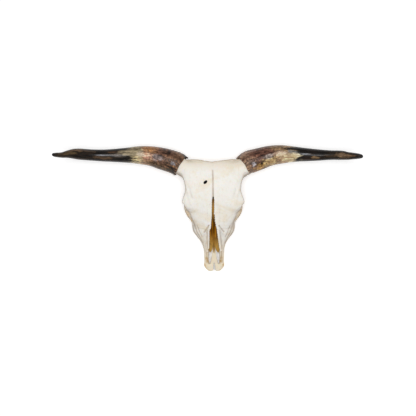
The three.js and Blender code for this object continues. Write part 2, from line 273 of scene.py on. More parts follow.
def body(rows, x_axis=half_x):
    """Distance outside a body along the skull. A section is |x/w|^n + |z/h|^n = 1; the distance is
    how far that sum's n-th root is over 1, divided by the root's slope."""
    run = through(rows)
    i = window(along, run[0, 0], run[-1, 0])
    s = along[i]
    z0, wide, over, under, n = (np.interp(s, run[:, 0], run[:, k])[None, :, None] for k in range(1, 6))
    j = window(x_axis, -wide.max(), wide.max())
    k = window(up, (z0 - under).min(), (z0 + over).max())
    rise = up[k][None, None, :] - z0
    tall = np.where(rise > 0, over, under)
    a = np.abs(x_axis[j])[:, None, None] / wide + 1e-6
    b = np.abs(rise) / tall + 1e-6
    slope_a, slope_b = a ** (n - 1), b ** (n - 1)
    total = np.log(a * slope_a + b * slope_b)
    slope = np.exp(total * (1 - n) / n) * np.hypot(slope_a / wide, slope_b / tall)
    field = (np.exp(total / n) - 1) / slope
    cap = np.maximum(run[0, 0] - s, s - run[-1, 0])[None, :, None]
    return (j, i, k), -smooth_min(-field, -cap - 0 * field, END_ROUNDING)


def grid_points(where, x_axis=half_x):
    """The places of a block of the grid, one row each."""
    j, i, k = where
    blocks = np.meshgrid(x_axis[j], along[i], up[k], indexing="ij")
    return np.stack([b.ravel() for b in blocks], 1), blocks[0].shape


def nearest_on(path, points):
    """How far each point is from a path of straight stretches, and where along it the nearest place is."""
    best = np.full(len(points), 1e9)
    place = np.zeros(len(points))
    for i, (a, b) in enumerate(zip(path[:-1], path[1:])):
        d = b - a
        t = np.clip((points - a) @ d / (d @ d), 0, 1)
        gap = ((points - a - t[:, None] * d) ** 2).sum(1)
        closer = gap < best
        best[closer] = gap[closer]
        place[closer] = i + t[closer]
    return np.sqrt(best), place


def path_frames(places, over=(0, 0, 1)):
    """Unit directions along a path, across it, and away from both."""
    ahead = np.gradient(places, axis=0)
    ahead /= np.linalg.norm(ahead, axis=1, keepdims=True)
    side = np.cross(over, ahead)
    side /= np.linalg.norm(side, axis=1, keepdims=True)
    return ahead, side, np.cross(ahead, side)


def limb(rows, x_axis=half_x, over=(0, 0, 1)):
    """Distance outside a limb: the nearest place on its path gives the ellipse across it, and the offset
    from that place, measured in half widths, is compared with 1."""
    run = through(rows, 6 * len(rows))
    path = run[:, :3]
    most = run[:, 3:].max()
    where = tuple(window(axis, path[:, c].min() - most, path[:, c].max() + most)
                  for c, axis in enumerate((x_axis, along, up)))
    points, shape = grid_points(where, x_axis)
    _, place = nearest_on(path, points)
    ahead, side, away = path_frames(path, over)
    frames = np.concatenate([path, side, away, ahead, run[:, 3:5]], 1)
    i = np.minimum(place.astype(int), len(frames) - 2)
    here = frames[i] + (place - i)[:, None] * (frames[i + 1] - frames[i])
    off = points - here[:, :3]
    wide, tall = here[:, 12], here[:, 13]
    u = (off * here[:, 3:6]).sum(1) / wide
    v = (off * here[:, 6:9]).sum(1) / tall
    w = (off * here[:, 9:12]).sum(1) / np.minimum(wide, tall)
    r = np.sqrt(u * u + v * v + w * w) + 1e-6
    slope = np.sqrt((u / wide) ** 2 + (v / tall) ** 2 + (w / np.minimum(wide, tall)) ** 2) / r + 1e-6
    return where, ((r - 1) / slope).reshape(shape)


def ellipsoid(x, s, z, a, b, c, turn=0.0, x_axis=half_x):
    """Distance outside an ellipsoid turned about Z: the offset in half sizes against 1, over its slope."""
    most = max(a, b)
    where = (window(x_axis, x - most, x + most), window(along, s - most, s + most),
             window(up, z - c, z + c))
    dx = (x_axis[where[0]] - x)[:, None, None]
    ds = (along[where[1]] - s)[None, :, None]
    dz = (up[where[2]] - z)[None, None, :]
    cos, sin = math.cos(math.radians(turn)), math.sin(math.radians(turn))
    u, v, w = (dx * cos + ds * sin) / a, (ds * cos - dx * sin) / b, dz / c
    r = np.sqrt(u * u + v * v + w * w) + 1e-6
    return where, (r - 1) * r / (np.sqrt((u / a) ** 2 + (v / b) ** 2 + (w / c) ** 2) + 1e-6)


def melt(whole, part, blend):
    """Joins a part to the whole with a fillet about as wide as blend."""
    where, field = part
    whole[where] = smooth_min(whole[where], field, blend)


def carve(whole, part, blend):
    """Takes a part out of the whole and rounds the brim."""
    where, field = part
    whole[where] = -smooth_min(-whole[where], field, blend)


def outline_distance(outline, u_axis, v_axis):
    """Distance outside a closed outline on a flat grid: to its nearest side, less than 0 inside it."""
    u, v = np.meshgrid(u_axis, v_axis, indexing="ij")
    points = np.stack([u.ravel(), v.ravel()], 1)
    ring = np.asarray(outline + outline[:1], float)
    gap, _ = nearest_on(ring, points)
    inside = np.zeros(len(points), bool)
    for (a0, a1), (b0, b1) in zip(ring[:-1], ring[1:]):
        if a1 != b1:
            crosses = (points[:, 1] < a1) != (points[:, 1] < b1)
            inside ^= crosses & (points[:, 0] < a0 + (points[:, 1] - a1) * (b0 - a0) / (b1 - a1))
    return np.where(inside, -gap, gap).reshape(u.shape)


def unevenness(size, seed, shape, spans):
    """Smooth random unevenness from -1 to 1: random values on a coarse lattice, eased between its
    points."""
    random = np.random.default_rng(seed)
    counts = [int(span / size) + 3 for span in spans]
    field = random.uniform(-1, 1, counts)
    for axis, (count, points) in enumerate(zip(counts, shape)):
        t = np.linspace(0, spans[axis] / size, points)
        i = np.minimum(t.astype(int), count - 2)
        f = t - i
        f = f * f * (3 - 2 * f)
        field = np.moveaxis(field, axis, 0)
        f = f.reshape(-1, 1, 1)
        field = np.moveaxis(field[i] * (1 - f) + field[i + 1] * f, 0, axis)
    return field.astype(np.float32)


# The right half of the skull: each part with the width of the fillet round it, in the order of joining.
half = np.full((len(half_x), len(along), len(up)), FAR_OUTSIDE, np.float32)
for rows in (FOREHEAD, BRAINCASE, FACE, NASAL_ROOF, BASE):
    melt(half, body(rows), 9.0)
melt(half, limb(HORN_CORE), 22.0)
melt(half, ellipsoid(*ORBIT_BRIM), 14.0)
for rows, fillet in ((ZYGOMATIC_ARCH, 7.0), (MALAR_CREST, 12.0), (ALVEOLAR_RIDGE, 9.0), (PTERYGOID, 5.0)):
    melt(half, limb(rows), fillet)
for knob, fillet in ((FACIAL_TUBEROSITY, 14.0), (MASTOID, 12.0)):
    melt(half, ellipsoid(*knob), fillet)
melt(half, limb(JUGULAR_PROCESS, over=(1, 0, 0)), 10.0)
for knob, fillet in ((CONDYLE, 7.0), (BULLA, 6.0)):
    melt(half, ellipsoid(*knob), fillet)
carve(half, ellipsoid(*ORBIT_SOCKET, turn=ORBIT_TURN), 5.0)
for rows, fillet in ((PALATE_VAULT, 6.0), (CHOANAE, 4.0)):
    carve(half, body(rows), fillet)
for hole, fillet in ((FORAMEN_MAGNUM, 4.0), (INFRAORBITAL_HOLE, 2.0), (ORBIT_CANAL, 3.0)):
    carve(half, ellipsoid(*hole), fillet)

whole = np.concatenate([half[:0:-1], half])

# ---- The open nose and the marks on the bone ---------------------------------------------------------
# The nasal bones have come apart along the middle and broken short, which opens a jagged split from
# between the eyes to the muzzle. Creases and holes where nerves and vessels ran mark the outside.
NASAL_OPENING = [
    [-1.2, 164], [-4.6, 175], [-5.8, 190], [-6.5, 212], [-7.2, 228], [-7, 243], [-8.3, 261], [-9.4, 270],
    [-11, 286], [-11.6, 296], [-13, 305], [-16.8, 309], [-18.6, 314], [-18.8, 345], [-20, 380],
    [-20.5, 398], [-24, 414], [-25, 440], [25, 440], [24.5, 414], [24, 400], [23, 389], [21.3, 376],
    [19.4, 360], [17.2, 343], [15.3, 326], [13.6, 311], [12.6, 302], [10.7, 295], [8.6, 288], [9.4, 283],
    [6.8, 281], [7.4, 274], [4.6, 273], [6.2, 265], [4.4, 260], [5.6, 253], [4.0, 250], [5.2, 245],
    [2.6, 241], [1.4, 236], [3.2, 230], [3.6, 212], [4.1, 178], [1.4, 164],
]
OPENING_UNDERSIDE = [(170, 112), (290, 112), (402, 66), (450, 60)]  # s, z
ROOF_THICKNESS = 3.0  # of the bone between the nose and the skin
ROOF_END = 396  # where that bone ends and the nose lies open
PALATINE_FISSURE = [
    [7, 396], [13, 398], [20, 408], [24.5, 421], [25, 436], [23.5, 454], [20, 465], [17, 461], [13.5, 447],
    [10.5, 434], [7.5, 412],
]
INCISIVE_NOTCH = [
    [-2, 460], [-4, 474], [-4.8, 486], [-6.5, 505], [6.5, 505], [4.8, 486], [4, 474], [2, 460],
]
RIGHT_THROUGH = -20  # where a cut ends that goes through the floor of the nose

# Grooves and ridges on the top of the skull: their paths as x, s, then depth and half width. A depth
# under 0 is a ridge.
TOP_MARKS = [
    # Over each eye socket: a fine line, the hollow it lies in, and the ridge outside it.
    ([[-104, 122], [-101, 136], [-97, 150], [-92, 168]], 0.6, 3.9),
    ([[97, 132], [94, 146], [90, 158], [87, 172]], 0.6, 3.9),
    ([[-100, 130], [-96, 148], [-90, 172]], 1.8, 7.0),
    ([[94, 134], [90, 152], [86, 174]], 1.8, 7.0),
    ([[-112, 132], [-107, 150], [-102, 172], [-97, 196]], -2.2, 5.0),
    ([[109, 138], [104, 154], [99, 176], [95, 198]], -2.2, 5.0),
    # Down the side of the snout.
    ([[-86, 292], [-76, 318], [-62, 345], [-50, 370]], 1.8, 2.4),
    ([[86, 288], [77, 315], [63, 343], [51, 368]], 1.8, 2.4),
    ([[-74, 290], [-64, 316], [-53, 340]], 1.4, 2.4),
    ([[72, 292], [63, 318], [53, 340]], 1.4, 2.4),
    # Where the nasal bones end: the slanting cracks, and the edges of the opening beside them.
    ([[-21, 290], [-30, 303], [-43, 321]], 4.6, 2.5),
    ([[24, 291], [33, 304], [45, 318]], 4.2, 2.2),
    ([[-25, 286], [-18, 296], [-15, 306]], -1.0, 4.0),
    ([[-21, 306], [-23, 340], [-24.5, 372], [-26, 396]], -1.8, 3.5),
    ([[17, 304], [21.5, 330], [26, 360], [30, 392]], -1.8, 3.5),
    ([[-30, 312], [-31, 345], [-31, 375], [-32, 400]], 1.5, 3.6),
    ([[28, 312], [31, 340], [34, 366], [35, 396]], 1.5, 3.6),
    # Along the muzzle, outside its openings.
    ([[-38, 372], [-39, 400], [-38, 430], [-34, 458]], 1.0, 3.2),
    ([[40, 380], [39, 404], [38, 430], [35, 456]], 1.0, 3.2),
    ([[-32.5, 412], [-33, 430], [-29, 448], [-24, 462]], 3.6, 3.2),
    ([[32.5, 408], [32, 430], [28, 450], [24, 462]], 3.6, 3.2),
    # The middle of the forehead: the open suture and the dip it lies in.
    ([[-0.5, 52], [0.4, 80], [-0.4, 120], [-0.6, 166]], 3.0, 2.8),
    ([[0, 18], [0, 60]], 1.8, 16.0),
    # Beside the split, and the swell of the brow.
    ([[-30, 190], [-33, 230], [-29, 268]], 1.2, 7.0),
    ([[31, 190], [34, 230], [30, 268]], 1.2, 7.0),
    ([[-54, 100], [-40, 132], [-36, 158]], -1.4, 16.0),
    ([[54, 100], [40, 132], [36, 158]], -1.4, 16.0),
]
# The same on both sides, with z: facial crest, the groove over it, two notches in the orbit's brim, the
# muzzle's edge and the groove behind the jugular process. Then on the nape.
SIDE_MARKS = [
    ([[97, 262, 104], [92, 280, 96], [84, 304, 84], [72, 330, 76]], -1.6, 5.0),
    ([[104, 240, 118], [97, 262, 112], [90, 284, 104]], 1.8, 4.5),
    ([[118, 158, 166], [110, 150, 172]], 2.2, 4.0),
    ([[126, 208, 124], [118, 222, 118]], 1.4, 4.0),
    ([[40, 478, 56], [30, 490, 54], [18, 493, 54]], -1.4, 5.0),
    ([[66, 20, 118], [76, 28, 80], [74, 40, 60]], 2.0, 5.0),
]
NUCHAL_MARKS = [
    ([[0, 8, 128], [0, 8, 152]], -4.0, 8.0),
    ([[26, 10, 122], [52, 12, 128]], 2.4, 10.0),
    ([[0, 10, 160], [50, 10, 158], [90, 14, 150]], -2.0, 7.0),
]
# The back edge of the poll, drawn from above: it dips forward in the middle and overhangs the nape.
POLL_EDGE = [
    (-170, -12), (-150, -8), (-132, -5), (-124, -3), (-117, 1), (-108, 2), (-102, -2), (-83, 0.5),
    (-57, 1.8), (-44, 5.3), (-32, 7.9), (-19, 10), (-6, 13), (0, 13.4), (7, 11.5), (20, 9.2), (33, 6.6),
    (46, 4.8), (59, 1.8), (72, 0.1), (85, -2.9), (95, -5), (101, -5), (108, -3), (118, -1.5),
    (130, -1.5), (146, -4), (170, -12),
]
POLL_UNDERSIDE = 118
NARROW = 4.0  # grooves of less half width get painted shade and dirt along them
UNEVENNESS = [(0.9, 34, 3), (0.35, 11, 4), (0.16, 4, 5)]  # how high, how wide, which random draw
EVERYWHERE = (slice(None), slice(None), slice(None))


def swept(outline_field, low):
    """A prism over a flat outline on x and s, reaching up from z = low at each s."""
    floor_of_cut = np.broadcast_to(low, along.shape)[None, :, None]
    return EVERYWHERE, np.maximum(outline_field[:, :, None], floor_of_cut - up).astype(np.float32)


def mark(path, depth, width):
    """Sinks (or with less than 0 raises) the surface along a path, in a bell of that half width."""
    path = through(path, 40)
    most = 2.5 * width
    where = tuple(window(axis, path[:, c].min() - most + REACH, path[:, c].max() + most - REACH)
                  for c, axis in enumerate((full_x, along, up)))
    points, shape = grid_points(where, full_x)
    gap, _ = nearest_on(path, points)
    whole[where] += (depth * np.exp(-(gap / width) ** 2)).reshape(shape)


def top_of_bone(places):
    """The height of the upper surface at each x, s: the highest grid point that is inside the bone."""
    j = np.clip(np.searchsorted(full_x, places[:, 0]), 0, len(full_x) - 1)
    i = np.clip(np.searchsorted(along, places[:, 1]), 0, len(along) - 1)
    column = whole[j, i]
    k = column.shape[1] - 1 - np.argmax(column[:, ::-1] < 0, axis=1)
    high = np.minimum(k + 1, column.shape[1] - 1)
    rows = np.arange(len(places))
    low_value, high_value = column[rows, k], column[rows, high]
    return up[k] + STEP * low_value / (low_value - high_value - 1e-6)


creases = []  # paths, half widths and strengths of the grooves darkened by painted shade and dirt
for path, depth, width in TOP_MARKS:
    path = through(path, 12)
    path = np.column_stack([path, top_of_bone(path)])
    mark(path, depth, width)
    if depth > 0 and width < NARROW:
        creases.append((path, width, min(1, depth / 3)))
for path, depth, width in SIDE_MARKS + NUCHAL_MARKS:
    mark(path, depth, width)
    mark([[-x, s, z] for x, s, z in path], depth, width)

edge_x, edge_s = through(POLL_EDGE).T
behind_poll = along[None, :] - np.interp(full_x, edge_x, edge_s)[:, None]
carve(whole, swept(behind_poll, POLL_UNDERSIDE), 9.0)

spans = [full_x[-1] - full_x[0], along[-1] - along[0], up[-1] - up[0]]
for height, size, seed in UNEVENNESS:
    whole += height * unevenness(size, seed, whole.shape, spans)
uncut = whole.copy()

ragged = 0.5 * np.sin(along / 1.7)[None, :] + 0.35 * np.sin(along / 0.9 + 1)[None, :]
underside = np.interp(along, *zip(*OPENING_UNDERSIDE))
carve(whole, swept(outline_distance(NASAL_OPENING, full_x, along) + ragged, underside), 1.2)
where, cavity = body(NASAL_CAVITY, full_x)
open_ahead = 100 * np.clip((along[where[1]] - ROOF_END) / 8, 0, 1)[None, :, None]
carve(whole, (where, np.maximum(cavity, uncut[where] + ROOF_THICKNESS - open_ahead)), 1.5)
for side in (-1, 1):
    fissure = outline_distance([[side * x, s] for x, s in PALATINE_FISSURE], full_x, along)
    carve(whole, swept(fissure, RIGHT_THROUGH), 3.0)
carve(whole, swept(outline_distance(INCISIVE_NOTCH, full_x, along), RIGHT_THROUGH), 2.0)
carve(whole, ellipsoid(*BOLT_HOLE, turn=-BOLT_TURN, x_axis=full_x), 1.2)
whole = np.maximum(whole, -up[None, None, :].astype(np.float32))

# ---- The bones ---------------------------------------------------------------------------------------
# The skull's flat bones knit along wavy sutures. Each bone is the part of the form inside its own
# outline, skinned by itself, and the bones interlock a little where they meet.
INTERLOCK = 0.25
NASAL_BONE = [[-9, 178], [6, 183], [14, 196], [25, 216], [27, 252], [24, 292], [16, 309], [-9, 318]]
NASAL_UNDERSIDE = 118
# The other outlines are drawn from the side, as s, z.
PREMAXILLA_SIDE = [
    [291, 146], [323, 124], [350, 96], [386, 64], [392, 10], [520, 10], [520, 220], [291, 220],
]
FRONTAL_SIDE = [
    [-80, 148], [20, 148], [60, 146], [126, 138], [130, 122], [160, 118], [202, 142], [228, 149],
    [238, 176], [238, 240], [-80, 240],
]
HORN_CORE_SIDE = [[-80, 100], [66, 100], [74, 160], [74, 240], [-80, 240]]
LACRIMAL_SIDE = [[196, 142], [238, 182], [272, 150], [266, 118], [234, 110], [196, 116]]
ZYGOMATIC_SIDE = [
    [118, 132], [196, 118], [234, 110], [266, 118], [286, 96], [278, 80], [236, 82], [196, 88],
    [140, 88], [128, 100],
]
TEMPORAL_SIDE = [[10, 92], [30, 142], [118, 142], [140, 88], [60, 82]]
MAXILLA_SIDE = [[188, -20], [188, 60], [214, 84], [214, 220], [520, 220], [520, -20]]

ripple_x = (0.8 * np.sin(full_x / 2.1) + 0.5 * np.sin(full_x / 0.97 + 2))[:, None, None]
ripple_s = (0.8 * np.sin(along / 2.3) + 0.5 * np.sin(along / 1.03 + 1))[None, :, None]


def side_region(outline, least_x):
    """Distance outside a region drawn from the side, for x beyond least_x, with rippled edges."""
    flat = outline_distance(outline, along, up)[None, :, :]
    sideways = full_x[:, None, None]
    return lambda side: np.maximum(flat + ripple_x, least_x - side * sideways + side * ripple_s)


def nasal_region(side):
    """Distance outside a nasal bone's outline drawn from above, over its underside."""
    flat = outline_distance([[side * x, s] for x, s in NASAL_BONE], full_x, along)[:, :, None]
    beyond = -side * full_x[:, None, None] + side * ripple_s
    return np.maximum(np.maximum(flat + ripple_s * 0.7, beyond), (NASAL_UNDERSIDE - up)[None, None, :])


frontal_plate, horn_root = side_region(FRONTAL_SIDE, 0), side_region(HORN_CORE_SIDE, 90)
BONE_REGIONS = {
    "nasal": nasal_region,
    "premaxilla": side_region(PREMAXILLA_SIDE, 0),
    "frontal": lambda side: np.minimum(frontal_plate(side), horn_root(side)),
    "lacrimal": side_region(LACRIMAL_SIDE, 20),
    "zygomatic": side_region(ZYGOMATIC_SIDE, 62),
    "temporal": side_region(TEMPORAL_SIDE, 54),
    "maxilla": side_region(MAXILLA_SIDE, 0),
}

# The vomer is a plain upright plate on the skull's middle, so its box tells where that middle is.
MUZZLE_LEAN = 0.018  # sideways drift of the skull's middle for each millimetre forward
MUZZLE_TIP = 497.0  # from the poll
poll_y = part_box("premaxilla_left")[0].y * 1000 + MUZZLE_TIP
plate_middle = sum(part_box("vomer"), Vector()) * 500
middle_x = plate_middle.x - MUZZLE_LEAN * (poll_y - plate_middle.y)


def in_frame(points):
    """Skull places (x, s, z in millimetres) as places in the frame, in metres."""
    x, s, z = points.T
    return np.column_stack([x + MUZZLE_LEAN * s + middle_x, poll_y - s, z]) / 1000


def net(field, origin):
    """A surface net: each grid cell that the zero level crosses holds one point, the mean of the
    crossings on its edges, and each crossed grid edge joins the points of its four cells in a face."""
    inside = field < 0
    cell_shape = np.array(field.shape) - 1
    corners = [(a, b, c) for a in (0, 1) for b in (0, 1) for c in (0, 1)]
    part = [slice(0, -1), slice(1, None)]
    count = sum(inside[part[a], part[b], part[c]].astype(np.int8) for a, b, c in corners)
    active = (count > 0) & (count < 8)
    cells = np.argwhere(active)
    number = np.full(cell_shape, -1, np.int32)
    number[active] = np.arange(len(cells))
    value = {c: field[tuple((cells + c).T)] for c in corners}
    total, hits = np.zeros(cells.shape), np.zeros(len(cells))
    faces = []
    for axis in range(3):
        step = np.eye(3, dtype=int)[axis]
        for low in (c for c in corners if c[axis] == 0):
            v0, v1 = value[low], value[tuple(low + step)]
            crossed = (v0 < 0) != (v1 < 0)
            t = np.where(crossed, v0 / np.where(crossed, v0 - v1, 1), 0)
            total += np.where(crossed[:, None], np.array(low) + t[:, None] * step, 0)
            hits += crossed
        first, second = (axis + 1) % 3, (axis + 2) % 3
        inner = [slice(1, -1)] * 3
        inner[axis] = slice(0, -1)
        ahead = list(inner)
        ahead[axis] = slice(1, None)
        here, there = inside[tuple(inner)], inside[tuple(ahead)]
        edges = np.argwhere(here != there) + np.where(np.arange(3) == axis, 0, 1)
        e1, e2 = np.eye(3, dtype=int)[first], np.eye(3, dtype=int)[second]
        ring = np.stack([number[tuple((edges + o).T)] for o in (-e1 - e2, -e2, 0 * e1, -e1)], 1)
        leaving = inside[tuple(edges.T)]
        faces.append(np.where(leaving[:, None], ring, ring[:, ::-1]))
    return origin + (cells + total / hits[:, None]) * STEP, np.concatenate(faces)


def sampled(field, points):
    """A field's value at any place: the mix of its eight nearest grid points."""
    at = (points - [full_x[0], along[0], up[0]]) / STEP
    at = np.clip(at, 0, np.array(field.shape) - 1.001)
    i = at.astype(int)
    f = at - i
    mix = 0
    for a in (0, 1):
        for b in (0, 1):
            for c in (0, 1):
                weight = np.abs(1 - a - f[:, 0]) * np.abs(1 - b - f[:, 1]) * np.abs(1 - c - f[:, 2])
                mix = mix + weight * field[i[:, 0] + a, i[:, 1] + b, i[:, 2] + c]
    return mix


def relaxed(points, faces, rounds=2):
    """Evens out the net: each point moves half way to the mean of its neighbours, then back a little
    more."""
    after = np.roll(faces, -1, 1)
    ends = np.concatenate([faces.ravel(), after.ravel()])
    others = np.concatenate([after.ravel(), faces.ravel()])
    count = np.bincount(ends, minlength=len(points))[:, None]
    for pull in [0.5, -0.53] * rounds:
        mean = np.stack([np.bincount(ends, points[others, c], len(points)) for c in range(3)], 1) / count
        points = points + pull * (mean - points)
    return points


def slope_at(points):
    """The form's slope along each axis, over a millimetre to either side of each point."""
    return np.stack([sampled(whole, points + d) - sampled(whole, points - d) for d in np.eye(3)], 1)


def drawn_to_skin(points):
    """Puts the points that lie just under the skull's outer skin back on it, along the field's slope, so
    that a bone's edge stays crisp at a suture."""
    under = sampled(whole, points)
    slope = slope_at(points) / 2
    steep = (slope ** 2).sum(1)
    near = (under > -1.0 * STEP) & (steep > 0.5)
    return points - np.where(near, under / np.maximum(steep, 0.5), 0)[:, None] * slope


def set_skin_normals(piece, points):
    """Gives the points that lie on the skull's skin the slope of the whole form, so that the light runs
    over a suture without a step, and returns every point's normal."""
    slope = slope_at(points)
    size = np.linalg.norm(slope, axis=1, keepdims=True)
    smooth = slope / np.maximum(size, 1e-6) * [1, -1, 1]
    on_skin = (np.abs(sampled(whole, points)) < 0.3) & (size[:, 0] > 1.2)
    own = np.empty(len(points) * 3, np.float32)
    piece.data.vertex_normals.foreach_get("vector", own)
    normals = np.where(on_skin[:, None], smooth, own.reshape(-1, 3))
    piece.data.normals_split_custom_set_from_vertices(normals.tolist())
    return normals


def new_piece(name, points, faces, nodes=()):
    """A smooth mesh object in the frame that rides on the part and stands for some of its solids. Its
    faces come in groups, each an array of faces with as many corners."""
    mesh = bpy.data.meshes.new(name)
    mesh.vertices.add(len(points))
    mesh.vertices.foreach_set("co", np.asarray(points, np.float32).ravel())
    corners = np.concatenate([group.ravel() for group in faces]).astype(np.int32)
    counts = np.concatenate([np.full(len(group), group.shape[1]) for group in faces])
    mesh.loops.add(len(corners))
    mesh.loops.foreach_set("vertex_index", corners)
    mesh.polygons.add(len(counts))
    mesh.polygons.foreach_set("loop_start", (np.cumsum(counts) - counts).astype(np.int32))
    mesh.update(calc_edges=True)
    mesh.shade_smooth()
    piece = bpy.data.objects.new(name, mesh)
    bpy.context.scene.collection.objects.link(piece)
    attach(piece, "root")
    if nodes:
        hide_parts(*nodes)
    return piece


def set_value(piece, name, values):
    """Keeps one number for each point of a mesh, for its material to read."""
    attribute = piece.data.attributes.new(name, "FLOAT", "POINT")
    attribute.data.foreach_set("value", np.asarray(values, np.float32))


# Places stained yellow or brown: x, s, z, radius, strength.
STAINS = [
    (-104, 232, 110, 22, 1.0), (-94, 262, 104, 14, 0.9), (104, 226, 110, 26, 1.0),
    (94, 258, 104, 14, 0.9), (124, 196, 128, 24, 0.9), (-124, 190, 128, 16, 0.7),
    (-118, 206, 120, 16, 0.6), (-43, 469, 52, 11, 1.0), (-38, 482, 51, 9, 1.0),
    (-28, 493, 50, 8, 0.9), (-32, 438, 64, 9, 0.9), (-30, 451, 62, 9, 1.0), (43, 467, 52, 11, 1.0),
    (38, 480, 51, 9, 1.0), (28, 492, 50, 8, 0.9), (32, 434, 64, 9, 0.9), (31, 449, 62, 9, 1.0),
    (-14, 472, 54, 5, 0.5), (-76, 292, 96, 12, 0.4), (80, 296, 96, 12, 0.4), (-22, 288, 134, 5, 0.6),
    (-104, 20, 172, 22, 0.25), (104, 20, 172, 22, 0.25), (0, 90, 204, 4, 0.3),
]
SHELTER_REACHES = {"crevice": 3.5, "shelter": 16.0}  # how far off the bone the way out is felt for
DEEPEST = 60  # under the skin; anything deeper counts as this

bones = []


def skinned(name, field):
    """Skins one bone of the form. Each point keeps how deep it was under the skin before the nose was
    opened, how sheltered it is, how stained, how near to a crease, and how steep the bone is there."""
    solid = np.argwhere(field < 0)
    low, high = np.maximum(solid.min(0) - 2, 0), solid.max(0) + 3
    block = np.pad(field[tuple(slice(a, b) for a, b in zip(low, high))], 1, constant_values=5.0)
    origin = np.array([full_x[low[0]], along[low[1]], up[low[2]]]) - STEP
    points, faces = net(block, origin)
    points = drawn_to_skin(relaxed(points, faces))
    points[:, 2] = np.maximum(points[:, 2], 0)
    piece_name = name.replace("_", "_bone_") if "_" in name else name + "_bone"
    piece = new_piece(piece_name, in_frame(points), [faces[:, ::-1]], [name])
    out = set_skin_normals(piece, points) * [1, -1, 1]
    set_value(piece, "depth", np.clip(-sampled(uncut, points), 0, DEEPEST))
    for label, reach in SHELTER_REACHES.items():
        opened = sampled(whole, points + out * reach)
        set_value(piece, label, np.clip(1 - opened / reach, 0, 1))
    stain = np.zeros(len(points))
    for x, s, z, radius, strength in STAINS:
        gap = ((points - [x, s, z]) ** 2).sum(1)
        stain = np.maximum(stain, strength * np.exp(-gap / radius ** 2))
    set_value(piece, "stain", stain)
    crease = np.zeros(len(points))
    for path, width, strength in creases:
        gap, _ = nearest_on(path, points)
        crease = np.maximum(crease, strength * np.exp(-(gap / width) ** 2))
    set_value(piece, "crease", crease)
    set_value(piece, "steep", 1 - np.clip(out[:, 2], 0, 1))
    bones.append(piece)


rest = whole
for name, region in BONE_REGIONS.items():
    for side, word in ((-1, "left"), (1, "right")):
        bound = region(side).astype(np.float32)
        skinned(f"{name}_{word}", np.maximum(rest, bound - INTERLOCK / 2))
        rest = np.maximum(rest, -INTERLOCK / 2 - bound)
skinned("cranium", rest)

# Bone that has lain in the sun: chalky off-white, cream where fat stayed in it, ochre in stained patches.
# Brown in hollows and crevices is painted shade, tan on the steep sides is painted shade, and tan along
# narrow grooves is painted shade and dirt. Matt, faintly translucent, finely pitted, with hairline checks
# that run along the grain from poll to muzzle.
BONE_WHITE, BONE_CREAM, BONE_OCHRE = "#F6F3EC", "#F1E7D4", "#CFA96A"
HOLLOW_SHADE_BROWN, NOSE_DARK, NOSE_TAN = "#7A5A34", "#5C3301", "#AE7304"
DENTINE, PIT_SHADE, CREASE_SHADE_TAN = "#8E6B3E", "#CFC3AC", "#916C3E"
STEEP_SIDE_SHADE_TAN, MUZZLE_CREAM, POLL_CREAM, HOLE_SHADE_BLACK = "#A28E78", "#F3E5C8", "#EBD9BC", "#120D09"
# Metres along Y, in the frame, over which a layer comes in.
MUZZLE_FADE = (-0.11, -0.22)
POLL_FADE = (0.15, 0.215)
NOSE_FRONT = (-0.178, -0.156)
BOLT_HOLE_SHADE_FADE = (0.06, 0.08)


def linear(hex_colour):
    """An sRGB hex colour as linear red, green, blue and alpha."""
    values = [int(hex_colour[i:i + 2], 16) / 255 for i in (1, 3, 5)]
    return [v / 12.92 if v <= 0.04045 else ((v + 0.055) / 1.055) ** 2.4 for v in values] + [1.0]


def feed(material, socket, value):
    """Links another node's output to a socket, or sets the socket to a value or an sRGB hex colour."""
    if isinstance(value, bpy.types.NodeSocket):
        material.node_tree.links.new(value, socket)
    else:
        socket.default_value = linear(value) if isinstance(value, str) else value


def fill(material, node, **inputs):
    """Feeds a node's inputs by name, with _ for each space."""
    for name, value in inputs.items():
        feed(material, node.inputs[name.replace("_", " ")], value)


def add(material, kind, settings, *values, output=None, **inputs):
    """Adds a node with its settings, feeds its open inputs in order or by name, and gives one of its
    outputs: the one that is named, or else the first open one."""
    node = material.node_tree.nodes.new("ShaderNode" + kind)
    for name, value in settings.items():
        setattr(node, name, value)
    open_inputs = [socket for socket in node.inputs if socket.enabled]
    for socket, value in zip(open_inputs, values):
        feed(material, socket, value)
    fill(material, node, **inputs)
    return node.outputs[output] if output else next(socket for socket in node.outputs if socket.enabled)


def new_material(name):
    """A material with only its shader and output, ready for its nodes."""
    material = bpy.data.materials.new(name)
    material.use_nodes = True
    return material, material.node_tree.nodes["Principled BSDF"]


def per_metre(millimetres):
    """A pattern's scale, from the size of its coarsest patches."""
    return 1000.0 / millimetres


# Settings of nodes: a range eased into another and clamped there, one colour laid over another, plainly or
# for its light and dark only, and two values through one operation.
EASED = {"interpolation_type": "SMOOTHSTEP"}
OVER = {"data_type": "RGBA"}
OVERLAID = {"data_type": "RGBA", "blend_type": "OVERLAY"}
TIMES, PLUS, MINUS = {"operation": "MULTIPLY"}, {"operation": "ADD"}, {"operation": "SUBTRACT"}


